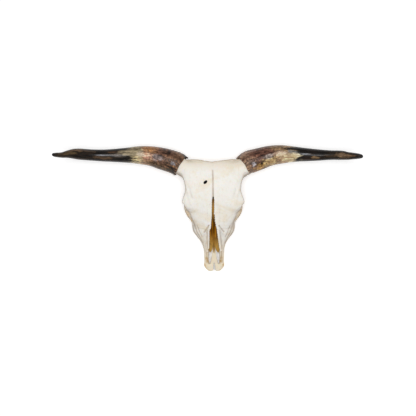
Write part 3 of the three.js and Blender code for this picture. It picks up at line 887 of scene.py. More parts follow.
def bone_material(name, teeth=False):
    """The bone's layers of colour, from the clean white up to the brown inside of the nose, with painted
    shade on steep sides, in hollows, along grooves and black in the bolt hole.
    """
    material, shader = new_material(name)
    place = add(material, "TexCoord", {}, output="Object")
    lengthwise = add(material, "Mapping", {}, place, Scale=(1.0, 0.18, 0.6))
    patches = add(material, "TexNoise", {}, place, Scale=per_metre(70), Detail=5.0, Roughness=0.6,
                  Distortion=0.6)
    blotches = add(material, "TexNoise", {}, place, Scale=per_metre(16), Detail=6.0, Roughness=0.62,
                   Distortion=0.4)
    streaks = add(material, "TexNoise", {}, lengthwise, Scale=per_metre(7), Detail=5.0, Roughness=0.6)
    fatty = add(material, "MapRange", EASED, patches, 0.46, 0.68)
    colour = add(material, "Mix", OVER, fatty, BONE_WHITE, BONE_CREAM)
    soft = add(material, "MapRange", EASED, blotches, 0.5, 0.72, 0.0, 0.55)
    colour = add(material, "Mix", OVER, soft, colour, BONE_CREAM)
    pits = add(material, "MapRange", EASED, streaks, 0.56, 0.74, 0.0, 0.28)
    colour = add(material, "Mix", OVER, pits, colour, PIT_SHADE)
    if teeth:
        colour = add(material, "Mix", OVER, 0.45, colour, BONE_CREAM)
        worn = add(material, "Attribute", {"attribute_name": "worn"}, output="Fac")
        worn = add(material, "MapRange", EASED, worn, 0.1, 1.2)
        colour = add(material, "Mix", OVER, worn, colour, DENTINE)
    else:
        steep, stain, crease, crevice, shelter, depth = (
            add(material, "Attribute", {"attribute_name": kept}, output="Fac")
            for kept in ("steep", "stain", "crease", "crevice", "shelter", "depth")
        )
        # Painted shade: tan mixed in by steepness, darker where the bone turns away from the light
        # overhead.
        steep = add(material, "MapRange", EASED, steep, 0.08, 0.70, 0.0, 0.85)
        colour = add(material, "Mix", OVER, steep, colour, STEEP_SIDE_SHADE_TAN)
        backward = add(material, "SeparateXYZ", {}, place, output="Y")
        muzzle = add(material, "MapRange", EASED, backward, *MUZZLE_FADE, 0.0, 0.70)
        colour = add(material, "Mix", OVER, muzzle, colour, MUZZLE_CREAM)
        poll = add(material, "MapRange", EASED, backward, *POLL_FADE, 0.0, 0.55)
        colour = add(material, "Mix", OVER, poll, colour, POLL_CREAM)
        clouded = add(material, "MapRange", EASED, blotches, 0.25, 0.62, 0.35, 1.0)
        stain = add(material, "Math", TIMES, stain, clouded)
        stain = add(material, "MapRange", EASED, stain, 0.0, 0.9)
        colour = add(material, "Mix", OVER, stain, colour, BONE_OCHRE)
        # Painted shade and dirt along the narrow grooves, broken up by streaks.
        broken = add(material, "MapRange", EASED, streaks, 0.35, 0.65, 0.6, 1.0)
        crease = add(material, "Math", TIMES, crease, broken)
        colour = add(material, "Mix", OVER, crease, colour, CREASE_SHADE_TAN)
        # Painted shade: brown mixed in where the bone lies in crevices and sheltered hollows, broken up by
        # blotches.
        crevice = add(material, "MapRange", EASED, crevice, 0.62, 1.0, 0.0, 0.55)
        shelter = add(material, "MapRange", EASED, shelter, 0.70, 1.0, 0.0, 0.45)
        hollow_shade = add(material, "Math", PLUS, crevice, shelter)
        mottle = add(material, "MapRange", EASED, blotches, 0.34, 0.66, 0.35, 1.0)
        hollow_shade = add(material, "Math", TIMES, hollow_shade, mottle)
        colour = add(material, "Mix", OVER, hollow_shade, colour, HOLLOW_SHADE_BROWN)
        deep = add(material, "MapRange", EASED, depth, 2.0, 6.5)
        inside = add(material, "Math", TIMES, deep, add(material, "MapRange", EASED, backward, *NOSE_FRONT))
        streaked = add(material, "MapRange", EASED, streaks, 0.38, 0.62)
        tan = add(material, "Mix", OVER, streaked, NOSE_DARK, NOSE_TAN)
        # Painted shade: deep in the bolt hole, behind the nose, the colour turns black.
        behind = add(material, "MapRange", EASED, backward, *BOLT_HOLE_SHADE_FADE)
        tan = add(material, "Mix", OVER, behind, tan, HOLE_SHADE_BLACK)
        colour = add(material, "Mix", OVER, inside, colour, tan)
    pores = add(material, "TexNoise", {}, place, Scale=per_metre(1.6), Detail=3.0, Roughness=0.7)
    checks = add(material, "TexNoise", {}, lengthwise, Scale=per_metre(3.2), Detail=6.0, Roughness=0.68,
                 Distortion=0.3)
    checks = add(material, "Math", {"operation": "ABSOLUTE"}, add(material, "Math", MINUS, checks, 0.5))
    cracks = add(material, "MapRange", EASED, checks, 0.0, 0.035, 0.0, 0.5)
    fine = add(material, "Math", PLUS, pores, cracks)
    pitted = add(material, "Bump", {}, Strength=0.35, Distance=0.0009, Height=fine)
    pitted = add(material, "Bump", {}, Strength=0.30, Distance=0.004, Height=blotches, Normal=pitted)
    rough = add(material, "MapRange", EASED, blotches, 0.3, 0.7, 0.50, 0.66)
    fill(material, shader, Base_Color=colour, Roughness=rough, Normal=pitted, IOR=1.54,
         Specular_IOR_Level=0.35, Subsurface_Weight=0.12, Subsurface_Radius=(0.006, 0.004, 0.0025),
         Subsurface_Scale=1.0)
    return material


def give(pieces, material):
    """Gives each piece its material."""
    for piece in pieces:
        piece.data.materials.append(material)


give(bones, bone_material("bleached_bone"))

# ---- Cheek teeth -------------------------------------------------------------------------------------
# Six tall columns in each upper jaw, ground flat by chewing: rims and crescents of hard enamel stand
# over the softer, browner dentine. They are set in their sockets by the roots.
# Length, width and lobes of each tooth, from the back of the row.
TEETH = [[29, 23, 2], [27, 25, 2], [24, 24, 2], [18, 22, 1], [18, 20, 1], [14, 15, 1]]
TOOTH_ROW_BACK = 202.0
TOOTH_ROW_X = 60.0  # of the row's middle at its back end
TOOTH_ROW_INWARD = 0.105  # for each millimetre forward
TOOTH_GAP = 0.8
TOOTH_ROOT = 34.0
DENTINE_DEPTH = 1.1
SQUARENESS = 3.2
# The chewing face from its edge inwards: share of the outline, height, how worn.
CHEWING_FACE = [
    (0.965, 0.4, 0), (0.94, 0.0, 0), (0.90, 0.0, 0), (0.86, 0.5, 1), (0.80, DENTINE_DEPTH, 1),
    (0.66, DENTINE_DEPTH, 1), (0.58, 0.7, 0.6), (0.53, 0.05, 0), (0.47, 0.05, 0), (0.40, 1.2, 1.0),
    (0.30, 2.6, 1.4), (0.16, 3.4, 1.6), (0.04, 3.6, 1.6),
]
CRESCENT = 0.62  # share of the outline inside which the crescent bends


def closed_tube(rings):
    """Faces for rings of points, joined ring to ring, with the first and the last ring closed by a
    fan."""
    count, around = rings.shape[:2]
    i, j = np.meshgrid(np.arange(count - 1), np.arange(around), indexing="ij")
    k = (j + 1) % around
    quads = np.stack([i * around + j, i * around + k, (i + 1) * around + k, (i + 1) * around + j], -1)
    points = np.concatenate([rings.reshape(-1, 3), rings[:1].mean(1), rings[-1:].mean(1)])
    j, k = j[0], k[0]
    first, tail = count * around, (count - 1) * around
    start = np.stack([0 * j + first, k, j], 1)
    end = np.stack([0 * j + first + 1, tail + j, tail + k], 1)
    return points, quads.reshape(-1, 4), np.concatenate([start, end])


def tooth(x, s, length, width, lobes):
    """A column: the outline is a rounded oblong, waisted between its lobes. It runs down from the root to
    the chewing face, then inwards over the enamel rim, the dentine and the inner crescent."""
    angle = np.linspace(0, 2 * np.pi, 72, endpoint=False)
    u, v = np.cos(angle), np.sin(angle)
    squared = (np.abs(u) ** SQUARENESS + np.abs(v) ** SQUARENESS) ** (-1 / SQUARENESS)
    waist = 1 - (0.13 if lobes == 2 else 0.03) * np.exp(-(v * squared / 0.22) ** 2)
    ribs = 1 + 0.035 * np.cos(angle * (8 if lobes == 2 else 6))
    out_x, out_s = u * squared * waist * ribs * width / 2, v * squared * ribs * length / 2
    down = np.linspace(0, 1, 14)
    side = [(1 - 0.10 * (1 - t) ** 2 - 0.03 * t, TOOTH_ROOT * (1 - t) + 1.2 * t, 0) for t in down]
    scale, z, worn = (np.array(c)[:, None] for c in zip(*side, *CHEWING_FACE))
    bend = np.where(scale < CRESCENT, 0.10 * width * np.cos(np.pi * out_s / length * 2), 0)
    rings = np.stack([x + out_x * scale + bend * np.sign(x), s + out_s * scale, z + 0 * out_x], -1)
    return rings, np.broadcast_to(worn, rings.shape[:2])


def joined(parts):
    """Puts closed tubes together: their points, then their four- and their three-cornered faces."""
    tubes = [closed_tube(rings) for rings in parts]
    starts = np.cumsum([0] + [len(points) for points, _, _ in tubes])
    points, quads, fans = zip(*((p, q + n, f + n) for (p, q, f), n in zip(tubes, starts)))
    return np.concatenate(points), [np.concatenate(quads), np.concatenate(fans)]


teeth_pieces = []
for side, word in ((-1, "left"), (1, "right")):
    columns, worn, back = [], [], TOOTH_ROW_BACK
    for length, width, lobes in TEETH:
        middle = back + length / 2
        x = side * (TOOTH_ROW_X - TOOTH_ROW_INWARD * (middle - TOOTH_ROW_BACK))
        rings, ground = tooth(x, middle, length - TOOTH_GAP, width, lobes)
        columns.append(rings)
        worn.append(np.append(ground.ravel(), [0, CHEWING_FACE[-1][2]]))
        back += length
    points, faces = joined(columns)
    piece = new_piece(f"cheek_teeth_{word}", in_frame(points), faces)
    set_value(piece, "worn", np.concatenate(worn))
    teeth_pieces.append(piece)

give(teeth_pieces, bone_material("enamel_and_dentine", teeth=True))

# ---- Inside the nose ---------------------------------------------------------------------------------
# A thin upright plate, the vomer, stands on the palate, with a long scroll of paper-thin bone on either
# side. Dried tissue still covers them, so they are brown and ribbed lengthwise.
VOMER = [  # s, height of the top edge, half thickness
    [209, 108, 1.2], [224, 120, 2.0], [262, 124, 2.6], [300, 116, 3.4], [350, 96, 3.8], [390, 76, 3.8],
    [406, 66, 2.8], [416, 56, 0.8],
]
VOMER_FOOT = 52.0
# The scrolls, the dried membrane that closes the split between the eyes some way under the skin, and the
# pale sheets of painted shade that close the palate's openings and the cleft between the tips, each as
# x, s, z, half width and half height.
TURBINATE_LEFT = [
    [-8, 190, 141, 4, 12], [-9.5, 212, 136, 6, 20], [-12, 240, 126, 9, 22], [-14, 280, 110, 11, 23],
    [-14, 320, 96, 11.5, 21], [-13.5, 360, 82, 10.5, 16], [-14, 390, 70, 8.5, 9],
    [-16.5, 413, 61, 2.5, 2.5],
]
TURBINATE_RIGHT = [
    [8, 190, 141, 4, 12], [9.5, 212, 136, 6, 20], [11.5, 240, 126, 9, 22], [13.5, 280, 110, 11, 23],
    [14.5, 320, 96, 12, 21], [15.5, 360, 82, 11.5, 16], [16, 390, 70, 9, 9], [18.5, 414, 61, 2.5, 2.5],
]
MEMBRANE = [
    [-1, 172, 154, 2, 4], [-1.2, 186, 168, 4.5, 5], [-1.5, 205, 171, 5.8, 6], [-1.8, 225, 166, 6, 6],
    [-1, 240, 157, 5, 6], [0, 262, 143, 3, 4],
]
PALATE_SHADE_SHEET = [
    [12, 391, 45, 5, 1], [14, 402, 44, 11, 1.2], [16.5, 430, 42, 11.5, 1.2], [18.5, 458, 44, 7, 1.2],
    [18.5, 468, 46, 3, 1],
]
CLEFT_SHADE_SHEET = [
    [0, 452, 46, 1, 1], [0, 464, 46, 4, 1], [0, 478, 46, 6, 1.2], [0, 489, 46.5, 6, 1.2],
    [0, 493, 47, 2, 1],
]


SCROLL_RIBS = [(0.10, 5, 3), (0.07, 11, -4), (0.03, 19, 9)]  # height, how many, drift along the scroll


def scroll(rows, seed):
    """A ribbed scroll: an ellipse carried along a path, its radius rippled around so that ribs run
    lengthwise, each wandering a little, and closed at both ends."""
    run = through(rows, 120)
    _, side, over = path_frames(run[:, :3])
    angle = np.linspace(0, 2 * np.pi, 96, endpoint=False)[None, :]
    along_run = np.linspace(0, 1, len(run))[:, None]
    phase = np.random.default_rng(seed).uniform(0, 6.3, len(SCROLL_RIBS))
    ribs = sum(height * np.cos(count * angle + start + drift * along_run)
               for (height, count, drift), start in zip(SCROLL_RIBS, phase))
    end = np.sqrt(np.clip(1 - (2 * along_run - 1) ** 16, 0.002, 1))
    wide, tall = run[:, 3:4] * end * (1 + ribs), run[:, 4:5] * end * (1 + ribs)
    rings = (run[:, None, :3] + (wide * np.cos(angle))[..., None] * side[:, None]
             + (tall * np.sin(angle))[..., None] * over[:, None])
    return rings


def blade(rows, foot):
    """An upright plate: at each place along it, a thin rounded section from the foot up to the edge."""
    run = through([[s, z, w] for s, z, w in rows], 90)
    angle = np.linspace(0, 2 * np.pi, 40, endpoint=False)[None, :]
    s, top, thick = (run[:, k:k + 1] for k in range(3))
    middle, reach = (top + foot) / 2, np.maximum((top - foot) / 2, 0.4)
    height = np.sign(np.sin(angle)) * np.abs(np.sin(angle)) ** 0.6
    wobble = 0.5 * np.sin(s / 17) + 0.3 * np.sin(s / 6 + 2 * height)
    x = thick * np.cos(angle) * (1 - 0.3 * height) + wobble + 0.006 * (s - 300)
    return np.stack([x, s + 0 * angle, middle + reach * height], -1)


nose_pieces = []
for name, rings, nodes in (
    ("vomer_plate", blade(VOMER, VOMER_FOOT), ["vomer"]),
    ("nose_membrane", scroll(MEMBRANE, 5), []),
    ("nose_scroll_left", scroll(TURBINATE_LEFT, 6), ["turbinate_left"]),
    ("nose_scroll_right", scroll(TURBINATE_RIGHT, 8), ["turbinate_right"]),
):
    points, faces = joined([rings])
    nose_pieces.append(new_piece(name, in_frame(points), faces, nodes))

# Painted shade: pale grey sheets in the palate's openings and the cleft, standing for the shaded floor seen
# through them.
shade_sheet_pieces = []
mirrored_shade_sheet = [[-x, *row] for x, *row in PALATE_SHADE_SHEET]
for word, rows in (("left", mirrored_shade_sheet), ("right", PALATE_SHADE_SHEET), ("middle", CLEFT_SHADE_SHEET)):
    points, faces = joined([scroll(rows, 11)])
    shade_sheet_pieces.append(new_piece(f"palate_shade_sheet_{word}", in_frame(points), faces))

# Paper-thin bone with the dried lining still on it: amber to dark brown, ribbed and slightly waxy, and
# painted paler in the split between the eyes as painted light against its shade. Pale grey sheets in the
# palate's openings are painted shade.
LINING_PALE, LINING_PAINTED_LIGHT, LINING_SHADE = "#D3AB5A", "#CBA25A", "#5C3710"
SHADE_SHEET_GREY, SHADE_SHEET_PALE = "#D8D7D6", "#F0EFEE"
LINING_FRONT_FADE = (-0.09, -0.185)  # metres along Y
LINING_LIGHT_FADE = (-0.07, -0.02)


def lining_material():
    """Streaks of dark and light brown that run lengthwise, paler at the front, and paler in the split as
    painted light against its shade.
    """
    material, shader = new_material("dried_nose_lining")
    place = add(material, "TexCoord", {}, output="Object")
    stretched = add(material, "Mapping", {}, place, Scale=(1.0, 0.07, 0.5))
    streaks = add(material, "TexNoise", {}, stretched, Scale=per_metre(6), Detail=4.0, Roughness=0.6)
    patches = add(material, "TexNoise", {}, place, Scale=per_metre(28), Detail=4.0, Roughness=0.6)
    streaked = add(material, "MapRange", EASED, streaks, 0.34, 0.66)
    colour = add(material, "Mix", OVER, streaked, NOSE_DARK, NOSE_TAN)
    backward = add(material, "SeparateXYZ", {}, place, output="Y")
    front = add(material, "MapRange", EASED, backward, *LINING_FRONT_FADE, 0.0, 0.75)
    colour = add(material, "Mix", OVER, front, colour, LINING_PALE)
    # Painted light: the split between the eyes lies deep in shade, so its lining is painted paler.
    back = add(material, "MapRange", EASED, backward, *LINING_LIGHT_FADE, 0.0, 0.5)
    colour = add(material, "Mix", OVER, back, colour, LINING_PAINTED_LIGHT)
    shade = add(material, "MapRange", EASED, patches, 0.5, 0.7, 0.0, 0.4)
    colour = add(material, "Mix", OVER, shade, colour, LINING_SHADE)
    ribbed = add(material, "Bump", {}, Strength=0.5, Distance=0.0015, Height=streaks)
    fill(material, shader, Base_Color=colour, Normal=ribbed, Roughness=0.5, Specular_IOR_Level=0.25)
    return material


def shade_sheet_material():
    """A thin sheet, pale grey and faintly clouded: painted shade where the palate's openings would show the
    shaded floor.
    """
    material, shader = new_material("painted_shade_sheet")
    place = add(material, "TexCoord", {}, output="Object")
    clouds = add(material, "TexNoise", {}, place, Scale=per_metre(9), Detail=4.0, Roughness=0.55)
    clouds = add(material, "MapRange", EASED, clouds, 0.35, 0.65)
    colour = add(material, "Mix", OVER, clouds, SHADE_SHEET_GREY, SHADE_SHEET_PALE)
    fill(material, shader, Base_Color=colour, Roughness=0.7)
    return material


give(nose_pieces, lining_material())
give(shade_sheet_pieces, shade_sheet_material())

# ---- Horns -------------------------------------------------------------------------------------------
# Each horn is a hollow sheath of keratin over a bony core. It is ringed and rough at the rim and polished
# smooth beyond. The rim stands a little off the bone.
HORN_LEFT = [  # x, s, z, radius
    [-139.4, 31, 161, 49], [-162.4, 16.5, 161, 50.2], [-212.9, 0.7, 160, 48.5], [-265.1, -12, 160, 43.3],
    [-317.4, -16.7, 161, 39.5], [-369.2, -16, 164, 33], [-420.4, -14.7, 170, 28.9],
    [-471.4, -13.6, 180, 26.3], [-520.4, -14.7, 196, 24.1], [-569, -17, 217, 23.9],
    [-592.4, -17.3, 230, 21.5], [-615, -14.5, 246, 16], [-636.4, -9.8, 265, 11.5], [-657.4, -8.8, 290, 9],
    [-667.4, -9, 308, 5.5],
]
HORN_RIGHT = [
    [128.6, 30.5, 161, 48], [153.6, 15.5, 161, 50.5], [196.2, 2.3, 160, 48], [248.4, -13.3, 160, 44],
    [300.6, -20, 161, 40.2], [352.3, -20.2, 165, 33.8], [403.6, -18, 171, 29.1], [454.6, -15.8, 180, 24.7],
    [504.2, -14.5, 194, 20.9], [552.6, -12.4, 213, 20], [575.6, -9, 226, 16.9], [598.2, -7.2, 243, 14],
    [619.1, -4.8, 266, 10.5], [627.6, -2.5, 286, 6.5],
]
# Inside of the sheath: how far in from the rim, and its radius there.
SOCKET = [[0, 44.6], [10, 43], [30, 40], [50, 37], [68, 31], [80, 22], [87, 10], [89, 1]]
# How far the rim stands back all round, how much more towards the muzzle and over the top, how far a
# narrow lip reaches behind the poll, and how far it is pinched in there. A broad tongue reaches under.
RIM = {
    "left": {"setback": 3.2, "slant": -1.5, "bulge": -0.5, "lip": 14.0, "pinch": 0.0},
    "right": {"setback": 8.0, "slant": 1.0, "bulge": 1.8, "lip": 11.0, "pinch": 6.0},
}
RIM_TONGUE = 12.0
RIM_FADE = 40.0  # how far along the sheath the rim's outline still shows
PINCH_FADE = 30.0
SOCKET_FADE = 20.0


def sheath(rows, rim, seed, rings_along=340, around=128):
    """The sheath's skin: from the closed tip to the rim, over the lip and down into the socket. The radius
    swells and shrinks with growth rings near the rim and with shallow lengthwise ribs."""
    run = through(rows, rings_along)
    places, radius = run[:, :3], run[:, 3]
    length = np.append(0, np.cumsum(np.linalg.norm(np.diff(places, axis=0), axis=1)))
    from_rim = length[:, None]
    ahead, side, over = path_frames(places)
    angle = np.linspace(0, 2 * np.pi, around, endpoint=False)
    outward = side[:, None] * np.cos(angle)[None, :, None] + over[:, None] * np.sin(angle)[None, :, None]
    phase = np.random.default_rng(seed).uniform(0, 6.3, 12)
    near_rim = np.exp(-from_rim / 70)
    wander = 3.5 * np.sin(2 * angle + phase[0]) + 2 * np.sin(3 * angle + phase[1])
    growth_rings = (0.55 * np.sin((from_rim + wander) * 2 * np.pi / 11)
                    + 0.4 * np.sin((from_rim - wander) * 2 * np.pi / 4.7 + phase[2])) * near_rim
    twist = from_rim / 160
    ribs = (0.35 * np.cos(9 * angle + phase[3] + twist) + 0.3 * np.cos(17 * angle + phase[4] - twist)
            + 0.22 * np.cos(31 * angle + phase[5] + 2 * twist)) * (0.25 + near_rim)
    lumps = 0.5 * np.sin(from_rim / 23 + phase[6]) * np.cos(2 * angle + phase[7])
    to_tip = np.clip(1 - (length[-1] - length) / (1.6 * radius[-1]), 0, 1)
    rounding = np.sqrt(np.clip(1 - to_tip ** 2, 0.003, 1))[:, None]
    relief = (growth_rings + ribs + lumps) * np.minimum(1, radius / 25)[:, None]
    rise, muzzleward = outward[0, :, 2], outward[0, :, 1]
    behind = np.maximum(-muzzleward, 0) / np.abs(muzzleward).max()
    outline = (rim["setback"] + rim["slant"] * muzzleward + rim["bulge"] * np.maximum(rise, 0) ** 2
               - RIM_TONGUE * np.minimum(rise, 0) ** 2 - rim["lip"] * behind ** 14
               + 1.2 * np.sin(5 * angle + phase[8]))
    squeeze = rim["pinch"] * behind[None, :] ** 2
    skin = (radius[:, None] + relief) * rounding - squeeze * np.exp(-(from_rim / PINCH_FADE) ** 2)
    shift = outline[None, :] * np.exp(-(from_rim / RIM_FADE) ** 2)
    outer = places[:, None] + outward * skin[..., None] + ahead[:, None] * shift[..., None]
    depth, inner_radius = through(SOCKET, 40).T
    at = np.stack([np.interp(depth, length, places[:, c]) for c in range(3)], 1)
    fade = np.exp(-(depth / SOCKET_FADE) ** 2)[:, None]
    inner_skin = inner_radius[:, None] - squeeze * fade
    inner = (at[:, None] + outward[0][None] * inner_skin[..., None]
             + ahead[0][None, None] * (outline[None, :] * fade)[..., None])
    lip = (outer[0] + inner[0]) / 2 - ahead[0] * 1.6
    rings = np.concatenate([outer[::-1], lip[None], inner])
    grain = np.concatenate([length[::-1], [0], -depth])
    return rings, grain, angle


horn_pieces = []
for rows, word, seed, muzzle_side in ((HORN_LEFT, "left", 21, -1), (HORN_RIGHT, "right", 22, 1)):
    rings, grain, angle = sheath(rows, RIM[word], seed)
    if word == "right":
        rings, angle = rings[:, ::-1], angle[::-1]
    points, faces = joined([rings])
    piece = new_piece(f"horn_sheath_{word}", in_frame(points), faces, [f"horn_{word}"])
    set_value(piece, "length", np.append(np.repeat(grain, len(angle)), [grain[0], grain[-1]]))
    set_value(piece, "across", np.append(np.tile(muzzle_side * np.cos(angle), len(grain)), [0, 0]))
    set_value(piece, "above", np.append(np.tile(np.sin(angle), len(grain)), [0, 0]))
    horn_pieces.append(piece)

# Keratin, scraped, sanded and oiled: grey-brown and mottled at the rim, orange and cream where the horn
# turns, black beyond, with streaks that follow the fibres. It takes a soft gloss.
# The main tone along each sheath, by millimetres from the rim.
LEFT_TONES = [
    (0, "#6C503B"), (40, "#71533E"), (80, "#6D4F3E"), (110, "#8F6851"), (130, "#967052"), (165, "#AC886A"),
    (190, "#AC9C7C"), (215, "#94866A"), (240, "#554D3F"), (270, "#26231E"), (300, "#1C1A17"),
    (340, "#1A1614"), (400, "#181411"), (440, "#1C1814"), (470, "#181411"), (500, "#262018"),
    (530, "#2B2318"), (562, "#231C14"), (578, "#0E0C0B"),
]
RIGHT_TONES = [
    (0, "#8A6E58"), (40, "#8C6D59"), (80, "#694D3D"), (130, "#6F5342"), (180, "#9F8062"), (225, "#8C7559"),
    (255, "#221E1B"), (285, "#141010"), (350, "#14100E"), (420, "#1C1813"), (460, "#292118"),
    (495, "#221B15"), (515, "#100D0C"), (548, "#121111"),
]
# Patches: millimetres from the rim, place across from -1 (poll side) to 1 (muzzle side), half length,
# half width across, tone, strength. The pale grey ones at 28 and 342 mm on the left and at 45 and 288 mm
# on the right are painted highlights; the black one at 5 mm on the left is painted shade.
LEFT_PATCHES = [
    (30, 0.75, 24, 0.35, "#211D1C", 0.85), (24, 0.35, 5, 0.12, "#A87B4B", 0.45),
    (75, -0.62, 75, 0.42, "#5B3E32", 0.6), (61, -0.66, 9, 0.17, "#230F07", 0.9),
    # Painted highlight: the pale grey-lilac patch 28 mm from the rim.
    (108, 0.05, 24, 0.3, "#988A88", 0.75), (28, 0.18, 10, 0.16, "#D2CDD2", 0.75),
    (100, 0.78, 60, 0.25, "#55442D", 0.7), (150, -0.65, 34, 0.4, "#AC784C", 0.9),
    (150, 0.12, 22, 0.42, "#D2AE92", 0.9), (181, -0.12, 16, 0.34, "#BEAE98", 0.8),
    (198, 0.58, 30, 0.42, "#CDB98C", 0.8), (208, -0.78, 30, 0.22, "#88785E", 0.8),
    (246, -0.25, 34, 0.36, "#AA9A7C", 0.75), (256, 0.62, 44, 0.4, "#0D0B0A", 0.95),
    (262, -0.92, 44, 0.22, "#12100E", 0.9), (306, -0.42, 22, 0.16, "#5E432F", 0.65),
    (345, 0.45, 50, 0.22, "#66503C", 0.65), (284, 0.1, 26, 0.4, "#5E5248", 0.6),
    (480, 0, 26, 0.55, "#0C0A08", 0.9), (515, -0.2, 42, 0.6, "#574730", 0.8),
    (472, -0.66, 34, 0.28, "#70573F", 0.75), (405, -0.6, 28, 0.16, "#5C4C3E", 0.6),
    # Painted highlight: the thin grey streak along the top.
    (342, 0.02, 44, 0.08, "#8C8D94", 0.6),
    # Painted shade: black in the gap between the rim and the bone on the poll side.
    (5, -0.95, 15, 0.17, "#070404", 1.0),
]
RIGHT_PATCHES = [
    # Painted highlight: the pale grey-lilac patch 45 mm from the rim.
    (95, -0.4, 80, 0.55, "#654135", 0.8), (45, 0.35, 12, 0.18, "#CFCDD2", 0.75),
    (75, 0.72, 28, 0.3, "#B2894D", 0.85), (82, 0.5, 6, 0.14, "#170F09", 0.9),
    (98, 0.76, 7, 0.1, "#170F09", 0.9), (128, 0.5, 38, 0.42, "#CAB07C", 0.9),
    (122, 0.1, 22, 0.22, "#B2A29A", 0.8), (170, -0.62, 36, 0.32, "#947654", 0.85),
    (180, -0.08, 28, 0.3, "#D2BCA4", 0.85), (212, 0.52, 54, 0.5, "#D4C49C", 0.85),
    (255, -0.75, 50, 0.34, "#0B0909", 0.95), (230, -0.22, 20, 0.2, "#989694", 0.65),
    (247, 0.18, 22, 0.26, "#DDD1B0", 0.8), (292, 0.6, 30, 0.25, "#2E2018", 0.75),
    (328, 0.45, 20, 0.2, "#866C4E", 0.8), (455, 0.02, 40, 0.42, "#866C52", 0.8),
    (402, 0.2, 28, 0.3, "#4A3826", 0.65), (492, 0.1, 26, 0.36, "#6E5640", 0.75),
    # Painted highlight: the thin bluish streak along the top.
    (288, -0.02, 24, 0.07, "#A2A6AE", 0.7),
]
FIBRE_BROWN, SPECK_BROWN = "#6A4C30", "#4A2A1C"
HORN_LENGTH = 600.0
ROUND = 30.0  # about the sheath's radius, which turns a place around it into millimetres
ROUGH_PART = (270.0, 90.0)  # millimetres from the rim, over which the mottling comes in
BLACK_PART = (230.0, 330.0)  # over which the brown fibres come in


def sheath_place(material, stretch):
    """Places on the sheath in metres, with the length pressed together so that patterns grow along it."""
    sides = []
    for kept, scale in (("across", ROUND), ("above", ROUND), ("length", stretch)):
        value = add(material, "Attribute", {"attribute_name": kept}, output="Fac")
        sides.append(add(material, "Math", TIMES, value, scale / 1000))
    return add(material, "CombineXYZ", {}, *sides)


def patched(material, colour, ragged, patches):
    """Lays patches of tone over a colour: each is an ellipse on length and place across, with torn
    edges."""
    names = ("length", "across")
    kept = [add(material, "Attribute", {"attribute_name": name}, output="Fac") for name in names]
    flat = add(material, "CombineXYZ", {}, *kept)
    for length, across, half_length, half_across, tone, strength in patches:
        moved = add(material, "Mapping", {}, flat, Scale=(1 / half_length, 1 / half_across, 0),
                    Location=(-length / half_length, -across / half_across, 0))
        reach = add(material, "VectorMath", {"operation": "LENGTH"}, moved)
        torn = add(material, "Math", PLUS, reach, ragged)
        amount = add(material, "MapRange", EASED, torn, 1.25, 0.60, 0.0, strength)
        colour = add(material, "Mix", OVER, amount, colour, tone)
    return colour


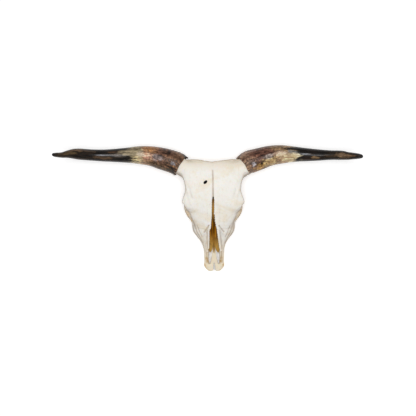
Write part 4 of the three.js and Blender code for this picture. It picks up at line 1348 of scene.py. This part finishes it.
def horn_material(name, tones, patches):
    """The main tones, the patches over them, then fibres, mottling and dark specks."""
    material, shader = new_material(name)
    length = add(material, "Attribute", {"attribute_name": "length"}, output="Fac")
    streaks = add(material, "TexNoise", {}, sheath_place(material, 0.08), Scale=per_metre(5), Detail=5.0,
                  Roughness=0.62, Distortion=0.5)
    fine = add(material, "TexNoise", {}, sheath_place(material, 0.16), Scale=per_metre(2.2), Detail=4.0,
               Roughness=0.65)
    mottle = add(material, "TexNoise", {}, sheath_place(material, 0.8), Scale=per_metre(8), Detail=5.0,
                 Roughness=0.65, Distortion=0.6)
    torn = add(material, "TexNoise", {}, sheath_place(material, 0.45), Scale=per_metre(16), Detail=5.0,
               Roughness=0.62, Distortion=0.6)
    tears = add(material, "Math", MINUS, torn, 0.5)
    threads = add(material, "Math", TIMES, add(material, "Math", MINUS, streaks, 0.5), 2.4)
    pushed = add(material, "Math", PLUS, length, add(material, "Math", TIMES, tears, 70.0))
    colour = add(material, "ValToRGB", {}, add(material, "Math", TIMES, pushed, 1 / HORN_LENGTH))
    stops = colour.node.color_ramp.elements
    while len(stops) < len(tones):
        stops.new(0.5)
    for stop, (at, tone) in zip(stops, tones):
        stop.position = at / HORN_LENGTH
        stop.color = linear(tone)
    ragged = add(material, "Math", PLUS, add(material, "Math", TIMES, tears, 3.4), threads)
    colour = patched(material, colour, ragged, patches)
    light = add(material, "MapRange", EASED, streaks, 0.34, 0.66, 0.18, 0.74)
    colour = add(material, "Mix", OVERLAID, 0.85, colour, light)
    light = add(material, "MapRange", EASED, fine, 0.36, 0.64, 0.22, 0.76)
    colour = add(material, "Mix", OVERLAID, 0.70, colour, light)
    fibres = add(material, "TexNoise", {}, sheath_place(material, 0.05), Scale=per_metre(3.6), Detail=5.0,
                 Roughness=0.68)
    fibres = add(material, "MapRange", EASED, fibres, 0.50, 0.70)
    black = add(material, "MapRange", EASED, length, *BLACK_PART, 0.0, 0.4)
    colour = add(material, "Mix", OVER, add(material, "Math", TIMES, fibres, black), colour, FIBRE_BROWN)
    near_rim = add(material, "MapRange", EASED, length, *ROUGH_PART)
    light = add(material, "MapRange", EASED, mottle, 0.38, 0.62, 0.12, 0.80)
    colour = add(material, "Mix", OVERLAID, add(material, "Math", TIMES, near_rim, 0.7), colour, light)
    specks = add(material, "MapRange", EASED, mottle, 0.63, 0.72)
    specks = add(material, "Math", TIMES, add(material, "Math", TIMES, specks, near_rim), 0.5)
    colour = add(material, "Mix", OVER, specks, colour, SPECK_BROWN)
    grooves = add(material, "Math", PLUS, streaks, add(material, "Math", TIMES, fine, 0.4))
    grooved = add(material, "Bump", {}, Strength=0.35, Distance=0.0012, Height=grooves)
    rough = add(material, "MapRange", EASED, torn, 0.35, 0.65, 0.18, 0.34)
    rough = add(material, "Math", PLUS, rough, add(material, "Math", TIMES, near_rim, 0.08))
    fill(material, shader, Base_Color=colour, Normal=grooved, Roughness=rough, IOR=1.55,
         Specular_IOR_Level=0.20)
    return material


left_horn, right_horn = horn_pieces
give([left_horn], horn_material("polished_horn_left", LEFT_TONES, LEFT_PATCHES))
give([right_horn], horn_material("polished_horn_right", RIGHT_TONES, RIGHT_PATCHES))

# ---- Floor and light ---------------------------------------------------------------------------------
# A plain white floor that glows a little, as a light table does, under one large soft box overhead.
FLOOR_REACH = 6.0
BOX_HEIGHT, BOX_SIZE, BOX_WATTS = 3.7, 1.3, 84
WORLD_GLOW = 0.30

floor_mesh = bpy.data.meshes.new("floor")
floor_corners = [(FLOOR_REACH * x, FLOOR_REACH * y, 0) for x, y in ((-1, -1), (1, -1), (1, 1), (-1, 1))]
floor_mesh.from_pydata(floor_corners, [], [(0, 1, 2, 3)])
floor = bpy.data.objects.new("floor", floor_mesh)
bpy.context.scene.collection.objects.link(floor)
floor_paint, floor_shader = new_material("floor_paint")
fill(floor_paint, floor_shader, Base_Color="#F6F6F6", Roughness=0.9, Specular_IOR_Level=0.0,
     Emission_Color="#FFFFFF", Emission_Strength=0.35)
give([floor], floor_paint)
floor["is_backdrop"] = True

world = bpy.data.worlds.new("studio")
world.use_nodes = True
world.node_tree.nodes["Background"].inputs["Color"].default_value = linear("#FFFFFF")
world.node_tree.nodes["Background"].inputs["Strength"].default_value = WORLD_GLOW
bpy.context.scene.world = world

box_light = bpy.data.lights.new("overhead_box", "AREA")
box_light.size = BOX_SIZE
box_light.energy = BOX_WATTS
overhead_box = bpy.data.objects.new("overhead_box", box_light)
overhead_box.location = (0, 0, BOX_HEIGHT)
bpy.context.scene.collection.objects.link(overhead_box)
bpy.context.scene.view_settings.view_transform = "Standard"

# ---- Sizes -------------------------------------------------------------------------------------------
boxes = {"cad": cad_box, "visual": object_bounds()}
{name: [list(corner) for corner in box] for name, box in boxes.items()}
